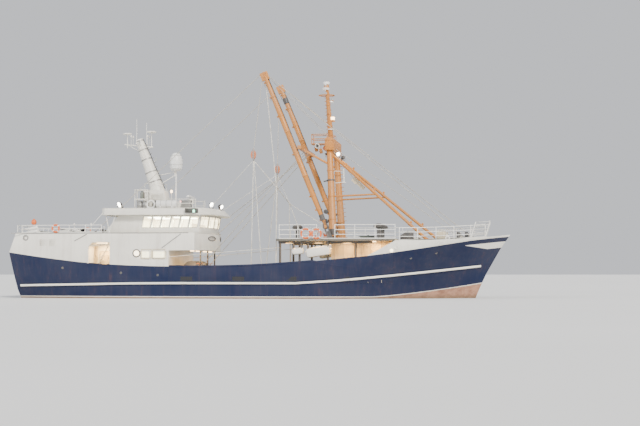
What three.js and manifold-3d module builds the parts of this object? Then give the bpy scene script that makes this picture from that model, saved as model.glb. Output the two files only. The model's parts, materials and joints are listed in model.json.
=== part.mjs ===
// A steel fishing trawler with an aft wheelhouse, a gantry forward and two hinged booms.
// Units are millimetres. +X points to the bow, +Y to port and +Z up, and the origin is
// amidships on the centreline at the waterline.
import * as THREE from 'three';
import { mergeVertices } from 'three/addons/utils/BufferGeometryUtils.js';
import Module from 'manifold-3d';

const wasm = await Module();
wasm.setup();

// Gaps between pieces that touch, and between a turning piece and what carries it.
const seat = 0.3;
const bearing = 0.6;

// Hull: the lines that stem and transom follow, as height and place along the ship.
const stemLine = [
  { z: -2950, x: 12400 }, { z: -2700, x: 13200 }, { z: -2100, x: 14000 }, { z: -1100, x: 14700 },
  { z: 80, x: 15210 }, { z: 1400, x: 15760 }, { z: 3470, x: 16940 }, { z: 4400, x: 17600 },
];
const transomLine = [
  { z: -600, x: -16350 }, { z: 0, x: -16600 }, { z: 3180, x: -17130 }, { z: 4600, x: -16620 },
];

// Stations of the hull, a row each. share runs from the transom, 0, to the stem, 1. bottom is
// the height of the centreline, water, side and top are half breadths at the waterline, at the
// paint line and at the top of the white plating, line and head are the heights of those two,
// full is the roundness of the section below water and flare the shape of the side above it.
const columns = ['share', 'bottom', 'water', 'side', 'top', 'line', 'head', 'full', 'flare'];
const stations = [
  [0.000, -380, 2500, 3560, 3560, 3180, 4520, 2.2, 0.55],
  [0.060, -560, 3050, 3760, 3760, 2880, 4520, 2.1, 0.60],
  [0.115, -800, 3400, 3880, 3880, 2640, 4520, 2.0, 0.70],
  [0.165, -1250, 3640, 3950, 3950, 2450, 4520, 2.0, 0.80],
  [0.225, -2150, 3830, 3990, 3990, 2320, 4520, 2.1, 0.90],
  [0.300, -2950, 3950, 4000, 4000, 2220, 4520, 2.6, 1.00],
  [0.400, -3150, 4000, 4000, 4000, 2180, 4520, 3.2, 1.00],
  [0.500, -3150, 4000, 4000, 4000, 2240, 2240, 3.4, 1.00],
  [0.600, -3100, 3930, 4000, 4000, 2440, 2440, 3.0, 1.10],
  [0.680, -3050, 3680, 3980, 3980, 2680, 2680, 2.6, 1.20],
  [0.744, -3020, 3270, 3930, 3930, 2900, 2900, 2.3, 1.30],
  [0.784, -3000, 2920, 3850, 3930, 3080, 3950, 2.1, 1.35],
  [0.840, -2980, 2270, 3560, 3680, 3380, 3960, 1.9, 1.40],
  [0.890, -2960, 1560, 3060, 3180, 3680, 4040, 1.8, 1.45],
  [0.930, -2950, 980, 2380, 2480, 3930, 4130, 1.7, 1.45],
  [0.965, -2950, 480, 1440, 1510, 4100, 4240, 1.6, 1.40],
  [0.988, -2950, 200, 620, 650, 4200, 4330, 1.6, 1.30],
  [1.000, -2950, 90, 130, 130, 4250, 4390, 1.6, 1.20],
].map((row) => Object.fromEntries(row.map((value, k) => [columns[k], value])));
const bilgeSteps = 7;
const sideSteps = 5;
const plating = 120;

// Working deck, the well between the deckhouse and the forecastle.
const deckZ = 1050;
const wellAft = -5660;
const wellFore = 9700;

// Deckhouse and its passages, recessed into both sides.
const boatDeckZ = 3950;
const houseTop = 4520;
const houseFrontMid = -3000;
const houseFrontSide = -3850;
const overhangZ = 3300;
const passage = { aft: -11350, fore: -9800, floor: 1350, ceiling: 3850, depth: 1500, chamfer: 300 };

// Wheelhouse.
const bridge = {
  half: 3350, aft: -8800, wing: -9400, front: -3670, camber: 520, wall: 80,
  floor: 3720, head: 5740, step: -4050, fore: -3880,
};
const pane = { sill: 4890, head: 5630, width: 560, pitch: 662, first: -7690, count: 6, lean: 150 };
const frontPane = { count: 5, post: 110, rake: 0.14 };
const aftPane = { places: [-2700, 1100], width: 1600, sill: 4900, head: 5500 };
const roof = { aft: -10450, front: -3080, half: 3850, top: 6220, visor: 455, visorLean: 225 };
const roofStrut = { places: [-10200, -9500], footX: -9850, footY: 3930, radius: 30 };

// Radar scanner on its bed over the roof.
const scanner = { x: -4800, y: -900, bedZ: 7000, length: 1900, width: 170 };

// Shelter deck, on pillars over the working deck.
const shelter = { aft: 1780, fore: 9960, half: 3840, under: 3920, top: 4060 };
const store = { aft: 5400, fore: 9600, half: 2500 };
const pillar = { places: [1950, 3300, 5250, 7150], y: 3150, radius: 85, beamFore: 8300 };

// Gantry: feet on the shelter deck, head, mast and struts.
const gantry = {
  x: 5560, footY: 2800, topX: 5240, topY: 2000, topZ: 10200, footR: 270, topR: 215,
  headHeight: 900, headLength: 620, headHalf: 2380, headChamfer: 120,
  strutX: { starboard: 12050, port: 12750 }, strutY: 2250, strutR: 100, strutTop: 10000,
  soleTop: 4070, tieZ: 7000, tieR: 60,
};
const restBeam = {
  x: 3340, z: 10310, half: 3750, size: 240, armY: 2100, armSize: 160, armX: 5280, armZ: 9210,
};
const foreStay = { topY: 1200, topZ: 10600, footX: 14300, footY: 400, footZ: 4060, wireR: 16, eye: 180 };
const basket = { aft: 3780, half: 560, floor: 10780, top: 11480, middle: 380, tube: 30 };
const poleMast = {
  x: 5080, topX: 4760, baseZ: 11100, topZ: 15250, baseR: 190, topR: 110,
  ringZ: 14270, ringR: 560, ringTube: 28,
};

// Booms: the heel pin is raked with the boom, so one turn lays it out over the side.
const boom = {
  heel: { x: 5130, y: 3400, z: 4900 }, rake: 22, splay: 1.0, length: 11350, heelR: 130, midR: 190, tipR: 140,
  eyeR: 175, eyeWidth: 180, pinR: 60, bore: 63, cheek: 60,
};
// The hanging blocks: side, place along the ship and height of the block's head.
const blockY = 3600;
const blocks = [
  { name: 'starboard', side: -1, x: 170, z: 10160 },
  { name: 'port', side: 1, x: 690, z: 9650 },
];

// Below water.
const screw = { x: -13700, z: -1950, radius: 1020, hub: 230, length: 420, blades: 4 };
const fin = { aft: -13300, half: 170, bottom: -3300, heelAft: -15250, heelTop: -3110 };
const rudder = { x: -14900, top: -960, bottom: -3060, fore: 380, aft: 1350, half: 130, stockR: 110 };

// Deck fittings on the forecastle.
const windlass = { aft: 12200, fore: 13500, half: 700, z: 4420, barrel: 170, reach: 1150, gypsy: 300 };
const locker = { aft: 10200, fore: 11050, outer: 3350, inner: 2500, low: 4300, high: 4560 };
const bitts = { posts: [14050, 14600], y: 1750, top: 4560, radius: 110 };

// Rails: the bar's width, heights, and the taller leaning frame at the fore end of the bow's.
const railBar = 42;
const railing = { high: 980, bow: 880, low: 560, three: [0.33, 0.66, 1], two: [0.55, 1] };
const gate = { height: 1110, lean: 330, postR: 32, rungR: 20, rungs: [0.28, 0.52, 0.76, 0.96] };

// Roof gear: the casing at the mast's foot, the radome and the liferaft canister.
const casing = { aft: -8300, step: -6650, fore: -5330, half: 750, ledge: 6750, top: 7620 };
const dome = { x: -6070, stemR: 60, low: 9000 };
const raft = { aft: -6950, fore: -5500, y: -2150, z: 6560, radius: 270 };

// Colours of the paints.
const paint = {
  navy: 0x24304f, white: 0xe6e2d6, buff: 0xd08a3a, red: 0x8a4136, deck: 0x5d6a5f,
  steel: 0x777b7d, dark: 0x26282b, cream: 0xd8cfb4, orange: 0xd9622b, bronze: 0xa5803f,
};

const group = new THREE.Group();

function asSolid(geometry) {
  const bare = geometry.index ? geometry.toNonIndexed() : geometry.clone();
  bare.deleteAttribute('normal');
  bare.deleteAttribute('uv');
  const merged = mergeVertices(bare, 1e-2);
  const from = merged.index.array;
  const kept = [];
  for (let i = 0; i < from.length; i += 3) {
    const [a, b, c] = [from[i], from[i + 1], from[i + 2]];
    if (a !== b && b !== c && a !== c) kept.push(a, b, c);
  }
  return new wasm.Manifold(new wasm.Mesh({
    numProp: 3,
    vertProperties: new Float32Array(merged.attributes.position.array),
    triVerts: new Uint32Array(kept),
  }));
}

function asGeometry(solid) {
  const mesh = solid.getMesh();
  const geometry = new THREE.BufferGeometry();
  geometry.setAttribute('position', new THREE.BufferAttribute(new Float32Array(mesh.vertProperties), 3));
  geometry.setIndex(new THREE.BufferAttribute(new Uint32Array(mesh.triVerts), 1));
  return geometry;
}

// The solid with each of its points moved to where the rule puts it.
function reshape(solid, rule) {
  const geometry = asGeometry(solid);
  const at = geometry.attributes.position;
  for (let i = 0; i < at.count; i += 1) at.setXYZ(i, ...rule(at.getX(i), at.getY(i), at.getZ(i)));
  return asSolid(geometry);
}

function addPiece(name, solid, color, roughness = 0.55, metalness = 0.1) {
  const geometry = asGeometry(solid);
  const piece = new THREE.Mesh(geometry, new THREE.MeshStandardMaterial({ color, roughness, metalness }));
  piece.name = name;
  group.add(piece);
}

function join(solids) {
  return solids.reduce((whole, next) => whole.add(next));
}

function box(x0, x1, y0, y1, z0, z1) {
  const geometry = new THREE.BoxGeometry(x1 - x0, y1 - y0, z1 - z0);
  return asSolid(geometry.translate((x0 + x1) / 2, (y0 + y1) / 2, (z0 + z1) / 2));
}

// A round bar from one point to another, its radius r0 at the start and r1 at the end.
function bar(from, to, r0, r1 = r0, sides = 10) {
  const start = new THREE.Vector3(...from);
  const along = new THREE.Vector3(...to).sub(start);
  const geometry = new THREE.CylinderGeometry(r1, r0, along.length(), sides);
  geometry.translate(0, along.length() / 2, 0);
  const turn = new THREE.Quaternion().setFromUnitVectors(
    new THREE.Vector3(0, 1, 0), along.clone().normalize());
  return asSolid(geometry.applyQuaternion(turn).translate(...from));
}

function outline(points) {
  return new THREE.Shape(points.map(([a, b]) => new THREE.Vector2(a, b)));
}

// A flat plate: its outline in X and Z, with its thickness along Y from y0 to y1.
function sidePlate(shape, y0, y1) {
  const geometry = new THREE.ExtrudeGeometry(shape, { depth: y1 - y0, bevelEnabled: false });
  geometry.rotateX(Math.PI / 2);
  return asSolid(geometry.translate(0, y1, 0));
}

// A flat plate: its outline in X and Y, with its thickness along Z from z0 to z1.
function deckPlate(shape, z0, z1) {
  const geometry = new THREE.ExtrudeGeometry(shape, { depth: z1 - z0, bevelEnabled: false });
  return asSolid(geometry.translate(0, 0, z0));
}

function ball(centre, radius, flatten = 1, sides = 14) {
  const geometry = new THREE.SphereGeometry(radius, sides, Math.ceil(sides / 2));
  return asSolid(geometry.rotateX(Math.PI / 2).scale(1, 1, flatten).translate(...centre));
}

// A turned piece about a line along Z, X or Y: the profile is radius and place along the line.
function turned(profile, centre, axis = 'z', sides = 20) {
  const geometry = new THREE.LatheGeometry(profile.map(([r, h]) => new THREE.Vector2(r, h)), sides);
  if (axis === 'z') geometry.rotateX(Math.PI / 2);
  if (axis === 'x') geometry.rotateZ(-Math.PI / 2);
  return asSolid(geometry.translate(...centre));
}

function along(line, z) {
  const last = line.length - 1;
  if (z <= line[0].z) return line[0].x;
  if (z >= line[last].z) return line[last].x;
  const i = line.findIndex((p) => p.z > z) - 1;
  const t = (z - line[i].z) / (line[i + 1].z - line[i].z);
  return line[i].x + t * (line[i + 1].x - line[i].x);
}

// Smooth curve through one column of the station table.
function fair(column, share) {
  let i = stations.findIndex((s) => s.share > share) - 1;
  if (i < 0) i = share <= 0 ? 0 : stations.length - 2;
  const at = (k) => stations[Math.min(Math.max(k, 0), stations.length - 1)];
  const [p0, p1, p2, p3] = [at(i - 1), at(i), at(i + 1), at(i + 2)];
  const t = (share - p1.share) / (p2.share - p1.share);
  const span = p2.share - p1.share;
  const slope = (a, b) => (a === b ? 0 : (b[column] - a[column]) / (b.share - a.share));
  const m1 = slope(p0, p2) * span;
  const m2 = slope(p1, p3) * span;
  const [t2, t3] = [t * t, t * t * t];
  return (2 * t3 - 3 * t2 + 1) * p1[column] + (t3 - 2 * t2 + t) * m1
    + (3 * t2 - 2 * t3) * p2[column] + (t3 - t2) * m2;
}

function straight(column, share) {
  const i = Math.max(0, stations.findIndex((s) => s.share >= share) - 1);
  const [a, b] = [stations[i], stations[i + 1]];
  return a[column] + (b[column] - a[column]) * (share - a.share) / (b.share - a.share);
}

function hullX(share, z) {
  return along(transomLine, z) + share * (along(stemLine, z) - along(transomLine, z));
}

// Half breadth of the hull above water at a height, at one station.
function halfBreadth(share, z) {
  const rise = Math.min(Math.max(z / fair('line', share), 0), 1);
  const [water, side] = [fair('water', share), fair('side', share)];
  return water + (side - water) * rise ** fair('flare', share);
}

// The half section from the keel to the paint line, inset from the plating's outside.
function section(share, inset = 0) {
  const points = [];
  const [bottom, full, line] = [fair('bottom', share), fair('full', share), fair('line', share)];
  const water = Math.max(fair('water', share) - inset, 10);
  for (let k = 0; k < bilgeSteps; k += 1) {
    const turn = (k / bilgeSteps) * Math.PI / 2;
    const z = (bottom + inset) * Math.cos(turn) ** (2 / full);
    points.push([hullX(share, z), k === 0 ? 0 : water * Math.sin(turn) ** (2 / full), z]);
  }
  for (let k = 0; k <= sideSteps; k += 1) {
    const z = line * k / sideSteps;
    points.push([hullX(share, z), Math.max(halfBreadth(share, z) - inset, 10), z]);
  }
  return points;
}

// A solid between mirrored half sections, each a list of points from low to high.
function loft(sections) {
  const positions = [];
  const quad = (a, b, c, d) => positions.push(...a, ...b, ...c, ...a, ...c, ...d);
  const mirror = ([x, y, z]) => [x, -y, z];
  const top = sections[0].length - 1;
  for (let i = 0; i + 1 < sections.length; i += 1) {
    const [here, next] = [sections[i], sections[i + 1]];
    for (let j = 0; j < top; j += 1) {
      quad(here[j], here[j + 1], next[j + 1], next[j]);
      quad(mirror(here[j]), mirror(next[j]), mirror(next[j + 1]), mirror(here[j + 1]));
    }
    quad(mirror(here[top]), mirror(next[top]), next[top], here[top]);
    if (here[0][1] > 0 || next[0][1] > 0) quad(here[0], next[0], mirror(next[0]), mirror(here[0]));
  }
  const [aft, fore] = [sections[0], sections[sections.length - 1]];
  for (let j = 0; j < top; j += 1) {
    quad(mirror(aft[j]), mirror(aft[j + 1]), aft[j + 1], aft[j]);
    quad(fore[j], fore[j + 1], mirror(fore[j + 1]), mirror(fore[j]));
  }
  const geometry = new THREE.BufferGeometry();
  geometry.setAttribute('position', new THREE.BufferAttribute(new Float32Array(positions), 3));
  return asSolid(geometry);
}

// Shares of the length at which the hull is cut into sections, evenly spaced from one to another.
function sectionShares(from, to, count) {
  const shares = [];
  for (let k = 0; k <= count; k += 1) shares.push(from + (to - from) * k / count);
  return shares;
}

const foreShares = [0.744, 0.784, 0.81, 0.84, 0.865, 0.89, 0.91, 0.93, 0.948, 0.965, 0.98, 0.99, 1];
const aftShares = sectionShares(0, 0.7, 14);
const houseShares = aftShares.slice(0, 10);
const hullShares = [...aftShares, ...foreShares];

function hullSolid(inset = 0) {
  return loft(hullShares.map((share) => section(share, inset)));
}

function buildHull() {
  const whole = hullSolid();
  const inner = hullSolid(plating);
  const far = 9000;
  const well = box(wellAft, wellFore, -far, far, deckZ, far);
  let hull = whole.subtract(well);
  for (const side of [-1, 1]) {
    const inboard = side * (4000 - plating - passage.depth);
    const outboard = side * far;
    const recess = box(passage.aft, passage.fore, Math.min(inboard, outboard), Math.max(inboard, outboard),
      passage.floor, far).intersect(inner);
    hull = hull.subtract(recess);
  }
  const trunkR = rudder.stockR + 80;
  const trunk = bar([rudder.x, 0, rudder.top + 60], [rudder.x, 0, -200], trunkR, trunkR, 16);
  hull = hull.add(trunk);
  addPiece('hull', hull, paint.navy, 0.5);
  const band = box(wellAft + seat, wellFore - seat, -far, far, deckZ + seat, far);
  const walls = whole.subtract(inner).intersect(band);
  addPiece('bulwark_starboard', walls.intersect(box(-far * 2, far * 2, -far, 0, 0, far)), paint.navy);
  addPiece('bulwark_port', walls.intersect(box(-far * 2, far * 2, 0, far, 0, far)), paint.navy);
}

// The white plating and deck over the paint line forward, raised by lift to seat what stands on it.
function forecastleSolid(lift = 0) {
  const block = loft(foreShares.map((share) => {
    const line = fair('line', share) + seat;
    const head = Math.max(straight('head', share), line + 2);
    return [
      [hullX(share, line), fair('side', share), line],
      [hullX(share, head), straight('top', share), head + lift],
    ];
  }));
  const room = box(0, shelter.fore + seat, -shelter.half + 60, shelter.half - 60, deckZ, 9000);
  return block.subtract(room);
}

function buildForecastle() {
  addPiece('forecastle', forecastleSolid(), paint.white);
}

// A bar of four-sided section lying along the hull's side, at the height that zAt gives.
function sideStrip(side, shares, zAt, proud, height) {
  const bite = 60;
  const sections = shares.map((share) => {
    const z = zAt(share);
    const y = halfBreadth(share, z);
    return { x: hullX(share, z), y, z };
  });
  const positions = [];
  const corners = ({ x, y, z }) => [
    [x, side * (y - bite), z - height / 2], [x, side * (y + proud), z - height * 0.32],
    [x, side * (y + proud), z + height * 0.32], [x, side * (y - bite), z + height / 2],
  ];
  const put = (a, b, c) => (side > 0 ? positions.push(...a, ...b, ...c) : positions.push(...a, ...c, ...b));
  for (let i = 0; i + 1 < sections.length; i += 1) {
    const [a, b] = [corners(sections[i]), corners(sections[i + 1])];
    for (let j = 0; j < 4; j += 1) {
      const k = (j + 1) % 4;
      put(a[j], a[k], b[k]);
      put(a[j], b[k], b[j]);
    }
  }
  const [first, last] = [corners(sections[0]), corners(sections[sections.length - 1])];
  put(first[0], first[2], first[1]);
  put(first[0], first[3], first[2]);
  put(last[0], last[1], last[2]);
  put(last[0], last[2], last[3]);
  const geometry = new THREE.BufferGeometry();
  geometry.setAttribute('position', new THREE.BufferAttribute(new Float32Array(positions), 3));
  return asSolid(geometry).subtract(hullSolid(-seat));
}

const rubHeight = 190;
const rubProud = 110;
// Height of the belting along the side: level amidships, rising to bow and stern.
function rubZ(share) {
  const fore = Math.max(share - 0.62, 0) / 0.38;
  const aft = Math.max(0.3 - share, 0) / 0.3;
  return 1060 + 1250 * fore ** 1.25 - 180 * aft;
}

function buildBelting() {
  const fore = foreShares.filter((share, k) => k % 2 === 0 && share < 0.985);
  const shares = [...sectionShares(0.01, 0.7, 8), ...fore];
  addPiece('belting_starboard', sideStrip(-1, shares, rubZ, rubProud, rubHeight), paint.white);
  addPiece('belting_port', sideStrip(1, shares, rubZ, rubProud, rubHeight), paint.white);
}

// Fin keel aft, with the stern tube and the sole piece under the propeller.
function buildFin() {
  const shape = outline([
    [fin.aft, screw.z + 330], [fin.aft - 20, fin.heelTop], [fin.heelAft, fin.heelTop],
    [fin.heelAft, fin.bottom], [-5600, fin.bottom], [-3500, -3050], [-3500, -2300], [fin.aft + 250, -500],
  ]);
  const blade = sidePlate(shape, -fin.half, fin.half);
  const tube = bar([fin.aft - 20, 0, screw.z], [fin.aft + 2600, 0, screw.z], screw.hub, screw.hub + 130, 16);
  const below = blade.add(tube);
  addPiece('keel_fin', below.subtract(hullSolid(-2)), paint.red);
}

function buildScrew() {
  const axisX = screw.x;
  const aftFace = axisX - screw.length / 2 - 160;
  const foreFace = fin.aft - 20 - bearing;
  const hub = turned([[0, aftFace], [110, aftFace + 40], [screw.hub - 20, axisX - 120],
    [screw.hub, foreFace - 60], [screw.hub - 20, foreFace], [0, foreFace]], [0, 0, screw.z], 'x', 12);
  const solids = [hub];
  for (let k = 0; k < screw.blades; k += 1) {
    const blade = new THREE.SphereGeometry(1, 8, 6);
    blade.scale(60, 330, (screw.radius - 150) / 2);
    blade.rotateZ(0.75);
    blade.translate(0, 0, 150 + (screw.radius - 150) / 2);
    blade.rotateX(k * 2 * Math.PI / screw.blades);
    solids.push(asSolid(blade.translate(axisX + 30, 0, screw.z)));
  }
  addPiece('propeller', join(solids), paint.bronze, 0.3, 0.8);
}

function buildRudder() {
  const { x, top, bottom, fore, aft, half } = rudder;
  const plan = outline([[x + fore, 0], [x + fore - 90, half * 0.8], [x + fore - 300, half],
    [x - aft * 0.4, half * 0.75], [x - aft, 15], [x - aft, -15], [x - aft * 0.4, -half * 0.75],
    [x + fore - 300, -half], [x + fore - 90, -half * 0.8]]);
  const blade = deckPlate(plan, bottom, top);
  const stock = bar([x, 0, top - 10], [x, 0, top + 60 - bearing], rudder.stockR, rudder.stockR, 16);
  const pintle = bar([x, 0, bottom + 10], [x, 0, fin.heelTop + bearing], 80, 80, 16);
  addPiece('rudder', join([blade, stock, pintle]), paint.red);
}

// A door on the outside of a wall: its hinge line stands at foot, it reaches along the wall
// towards heading (degrees about Z), and the wall faces 90 degrees to the right of that.
const leafThick = 45;
const barrelR = 26;
function doorParts(foot, heading, width, height, hinges = [0.12, 0.78]) {
  const place = (geometry) => asSolid(geometry.rotateZ(heading * Math.PI / 180).translate(...foot));
  const block = (x0, x1, y0, y1, z0, z1) => place(new THREE.BoxGeometry(x1 - x0, y1 - y0, z1 - z0)
    .translate((x0 + x1) / 2, (y0 + y1) / 2, (z0 + z1) / 2));
  const barrel = (z0, z1) => place(new THREE.CylinderGeometry(barrelR, barrelR, z1 - z0, 10)
    .rotateX(Math.PI / 2).translate(0, -60, (z0 + z1) / 2));
  const leaf = [block(45, width, -8 - leafThick, -8, 0, height)];
  const lugs = [];
  for (const z of hinges.map((share) => share * height)) {
    leaf.push(barrel(z, z + 110), block(0, 80, -60, -35, z, z + 110));
    lugs.push(barrel(z - 90, z - bearing), block(-barrelR, 4, -60, 10, z - 90, z - bearing));
  }
  const handle = block(width - 110, width - 80, -8 - leafThick - 60, -8 - leafThick + 5,
    height * 0.5, height * 0.5 + 160);
  const stop = block(width - 60, width - 20, -7.7, 10, height * 0.7 + 40, height * 0.7 + 80);
  return { leaf: join([...leaf, handle]), lugs: [...lugs, stop] };
}

function frontX(y) {
  return houseFrontSide + (houseFrontMid - houseFrontSide) * (1 - (y / 3950) ** 2);
}

// Outline of the deckhouse in plan, with its curved front.
function housePlan() {
  const points = [[-18500, 5000], [-18500, -5000], [houseFrontSide, -5000]];
  for (let k = 0; k <= 12; k += 1) {
    const y = -3950 + 7900 * k / 12;
    points.push([frontX(y), y]);
  }
  return outline([...points, [houseFrontSide, 5000]]);
}

// The tier over the hull aft, from the paint line or from low up to top, inset from its outside.
function houseLoft(inset, top, low) {
  return loft(houseShares.map((share) => {
    const foot = low ?? fair('line', share) + seat;
    const breadth = fair('side', share) - inset;
    return [[hullX(share, foot) + inset, breadth, foot], [hullX(share, top) + inset, breadth, top]];
  }));
}

// Doors of the side passages, and the windows of the cabins in the tier's side.
const passageDoor = { width: 700, height: 1750, sill: 1480, fromEnd: 430, hinges: [0.66, 0.88] };
const cabinPane = { places: [[-7700, -7000], [-6900, -5750]], sill: 2640, head: 3220, cut: 3930 };

function buildDeckhouse() {
  const far = 9000;
  const brim = transomLine[transomLine.length - 1].z;
  let house = houseLoft(0, houseTop).intersect(deckPlate(housePlan(), 0, far));
  house = house.subtract(box(wellAft, far, -far, far, 0, overhangZ));
  const well = houseLoft(plating, brim, boatDeckZ).intersect(box(-2 * far, bridge.step, -far, far, 0, far));
  house = house.subtract(well);
  house = house.subtract(box(bridge.aft + bridge.wall, bridge.fore, -bridge.half + 150,
    bridge.half - 150, bridge.floor, far));
  const mouth = outline([[passage.aft, 0], [passage.fore, 0], [passage.fore, passage.ceiling],
    [passage.aft + passage.chamfer, passage.ceiling], [passage.aft, passage.ceiling - passage.chamfer]]);
  const lugs = [];
  for (const side of [-1, 1]) {
    const name = side < 0 ? 'starboard' : 'port';
    const inboard = side * (4000 - plating - passage.depth);
    house = house.subtract(sidePlate(mouth, Math.min(inboard, side * far), Math.max(inboard, side * far)));
    const [skinY, outerY] = [side * cabinPane.cut, side * far];
    for (const [x0, x1] of cabinPane.places) {
      house = house.subtract(box(x0, x1, Math.min(skinY, outerY), Math.max(skinY, outerY),
        cabinPane.sill, cabinPane.head));
    }
    const { width, height, sill, fromEnd, hinges } = passageDoor;
    const door = side < 0
      ? doorParts([passage.aft + fromEnd, inboard, sill], 0, width, height, hinges)
      : doorParts([passage.fore - fromEnd, inboard, sill], 180, width, height, hinges);
    addPiece(`passage_door_${name}`, door.leaf, paint.cream);
    lugs.push(...door.lugs);
  }
  addPiece('deckhouse', join([house, ...lugs]), paint.white);
}

// Side wall of the wheelhouse with its aft wing, its windows leaning forward.
function buildBridgeSides() {
  const { half, wing, front, wall, head, step } = bridge;
  const foot = boatDeckZ + seat;
  const top = head - seat;
  const lean = 120;
  const ledge = houseTop + seat;
  const wingFoot = roof.aft + 30;
  const shape = outline([[front, ledge], [front, pane.sill], [front + lean, top], [wing, top],
    [wing - 30, head - 90], [wingFoot, houseTop - 40], [wingFoot, foot],
    [step - seat, foot], [step - seat, ledge]]);
  let panel = sidePlate(shape, 0, wall);
  for (let k = 0; k < pane.count; k += 1) {
    const x = pane.first + k * pane.pitch;
    panel = panel.subtract(sidePlate(outline([
      [x, pane.sill], [x + pane.width, pane.sill],
      [x + pane.width + pane.lean, pane.head], [x + pane.lean, pane.head],
    ]), -50, wall + 50));
  }
  addPiece('wheelhouse_side_starboard', reshape(panel, (x, y, z) => [x, y - half, z]), paint.white);
  addPiece('wheelhouse_side_port', reshape(panel, (x, y, z) => [x, y + half - wall, z]), paint.white);
}

// Curved front wall with five windows, raked forward above the sills.
function buildBridgeFront() {
  const { half, front, camber, wall, head } = bridge;
  const { count, post } = frontPane;
  const edge = half - wall - seat;
  const strips = 2;
  const pitch = 2 * edge / count;
  const bays = [];
  for (let k = 0; k < count; k += 1) {
    const y = -edge + k * pitch;
    for (let n = 0; n < strips; n += 1) {
      const [y0, y1] = [y + n * pitch / strips, y + (n + 1) * pitch / strips];
      bays.push(box(0, wall, y0, y1, houseTop + seat, pane.sill));
      bays.push(box(0, wall, y0, y1, pane.sill, head - seat));
    }
  }
  let panel = join(bays);
  for (let k = 0; k < count; k += 1) {
    const [y0, y1] = [-edge + k * pitch + post / 2, -edge + (k + 1) * pitch - post / 2];
    panel = panel.subtract(box(-50, wall + 50, y0, y1, pane.sill, pane.head));
  }
  const curved = reshape(panel, (depth, y, z) => {
    const bow = camber * (1 - (y / half) ** 2);
    const rake = Math.max(z - pane.sill, 0) * frontPane.rake;
    return [front - wall + depth + bow + rake, y, z];
  });
  addPiece('wheelhouse_front', curved, paint.white);
}

function buildBridgeAft() {
  const { half, aft, wall, head } = bridge;
  const edge = half - wall - seat;
  const foot = boatDeckZ + seat;
  const across = (y0, y1, z0, z1) => box(aft, aft + wall, y0, y1, z0, z1);
  let panel = across(-edge, edge, foot, head - seat);
  panel = panel.subtract(box(aft - 50, aft + wall + 50, -350, 350, foot + 180, 5620));
  for (const y of aftPane.places) {
    panel = panel.subtract(box(aft - 50, aft + wall + 50, y, y + aftPane.width, aftPane.sill, aftPane.head));
  }
  const door = doorParts([aft, 420, foot + 130], -90, 840, 1540);
  addPiece('wheelhouse_door', door.leaf, paint.white);
  addPiece('wheelhouse_aft', join([panel, ...door.lugs]), paint.white);
}

// The roof slab, with its visor leaning back, the struts aft and the radar scanner's bed.
function buildRoof() {
  const { aft, front, half, top, visor, visorLean } = roof;
  const corner = 500;
  const plan = outline([[aft, -half + 250], [aft + 250, -half], [front - corner, -half],
    [front, -half + corner], [front + visor, -half * 0.4], [front + visor, half * 0.4],
    [front, half - corner], [front - corner, half], [aft + 250, half], [aft, half - 250]]);
  const slab = reshape(deckPlate(plan, bridge.head, top), (x, y, z) => {
    const lean = z > bridge.head + 1 ? -visorLean : visorLean;
    return [x > front - corner / 2 ? x + lean : x, y, z];
  });
  const ledge = houseTop + seat;
  const { places, footX, footY, radius } = roofStrut;
  const struts = [-1, 1].flatMap((side) => places.map((x) => bar([x, side * (bridge.half + 200),
    bridge.head + 20], [footX, side * footY, ledge + 20], radius, radius, 6)));
  const feet = [-1, 1].map((side) => box(footX - 80, footX + 80, side * footY - 45, side * footY + 45,
    ledge, houseTop + 60));
  const { x, y, bedZ } = scanner;
  const post = [[0, top - 5], [240, top - 5], [240, top + 30], [110, top + 60],
    [110, bedZ - 300], [0, bedZ - 300]];
  const bed = [
    turned(post, [x, y, 0], 'z', 10),
    box(x - 230, x + 230, y - 200, y + 200, bedZ - 350, bedZ - 40),
    bar([x, y, bedZ - 50], [x, y, bedZ], 70, 70, 10),
  ];
  addPiece('wheelhouse_roof', join([slab, ...struts, ...feet, ...bed]), paint.white);
}

function buildConsole() {
  const z = bridge.floor + seat;
  const [aft, fore, half, height] = [-4750, -3930, 2300, 1100];
  const desk = sidePlate(outline([[aft, z], [fore, z], [fore, z + height], [aft + 300, z + height],
    [aft, z + height - 200]]), -half, half);
  addPiece('helm_console', desk, paint.dark);
}

// Mast over the roof: casing, raked mast with its yard, fore and aft arm, antennas and whips.
const mast = { foot: -7350, top: -8780, footZ: 7600, topZ: 11300, footR: 520, topR: 270 };
const yard = { x: -8600, z: 10900, half: 1500, radius: 50, whipY: 1400, whipTop: 12650 };
const mastArm = { aft: -9850, fore: -7750, aftZ: 10950, foreZ: 10750, radius: 45 };
const antennas = [{ x: -9650, top: 11720, radius: 340 }, { x: -7880, top: 11830, radius: 380 }];
function buildAftMast() {
  const base = roof.top + seat;
  const block = sidePlate(outline([[casing.aft, base], [casing.fore, base], [casing.fore, casing.ledge],
    [casing.step, casing.ledge], [casing.step - 150, casing.top], [casing.aft + 50, casing.top]]),
  -casing.half, casing.half);
  const foot = [mast.foot, 0, mast.footZ - 100];
  const shaft = bar(foot, [mast.top, 0, mast.topZ], mast.footR, mast.topR, 12);
  const cross = bar([yard.x, -yard.half, yard.z], [yard.x, yard.half, yard.z], yard.radius, yard.radius, 8);
  const { aft, fore, aftZ, foreZ, radius } = mastArm;
  const arm = bar([aft, 0, aftZ], [fore, 0, foreZ], radius, radius, 8);
  const posts = antennas.flatMap(({ x, top, radius: wide }) => [
    bar([x, 0, foreZ - 50], [x, 0, top], 28, 28, 5), ball([x, 0, top], wide, 0.24, 10)]);
  const whips = [-yard.whipY, yard.whipY].map((y) => bar(
    [yard.x, y, yard.z - 20], [yard.x, y, yard.whipTop], 22, 14, 6));
  addPiece('mast_aft', join([block, shaft, cross, arm, ...posts, ...whips]), paint.white);
}

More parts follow.
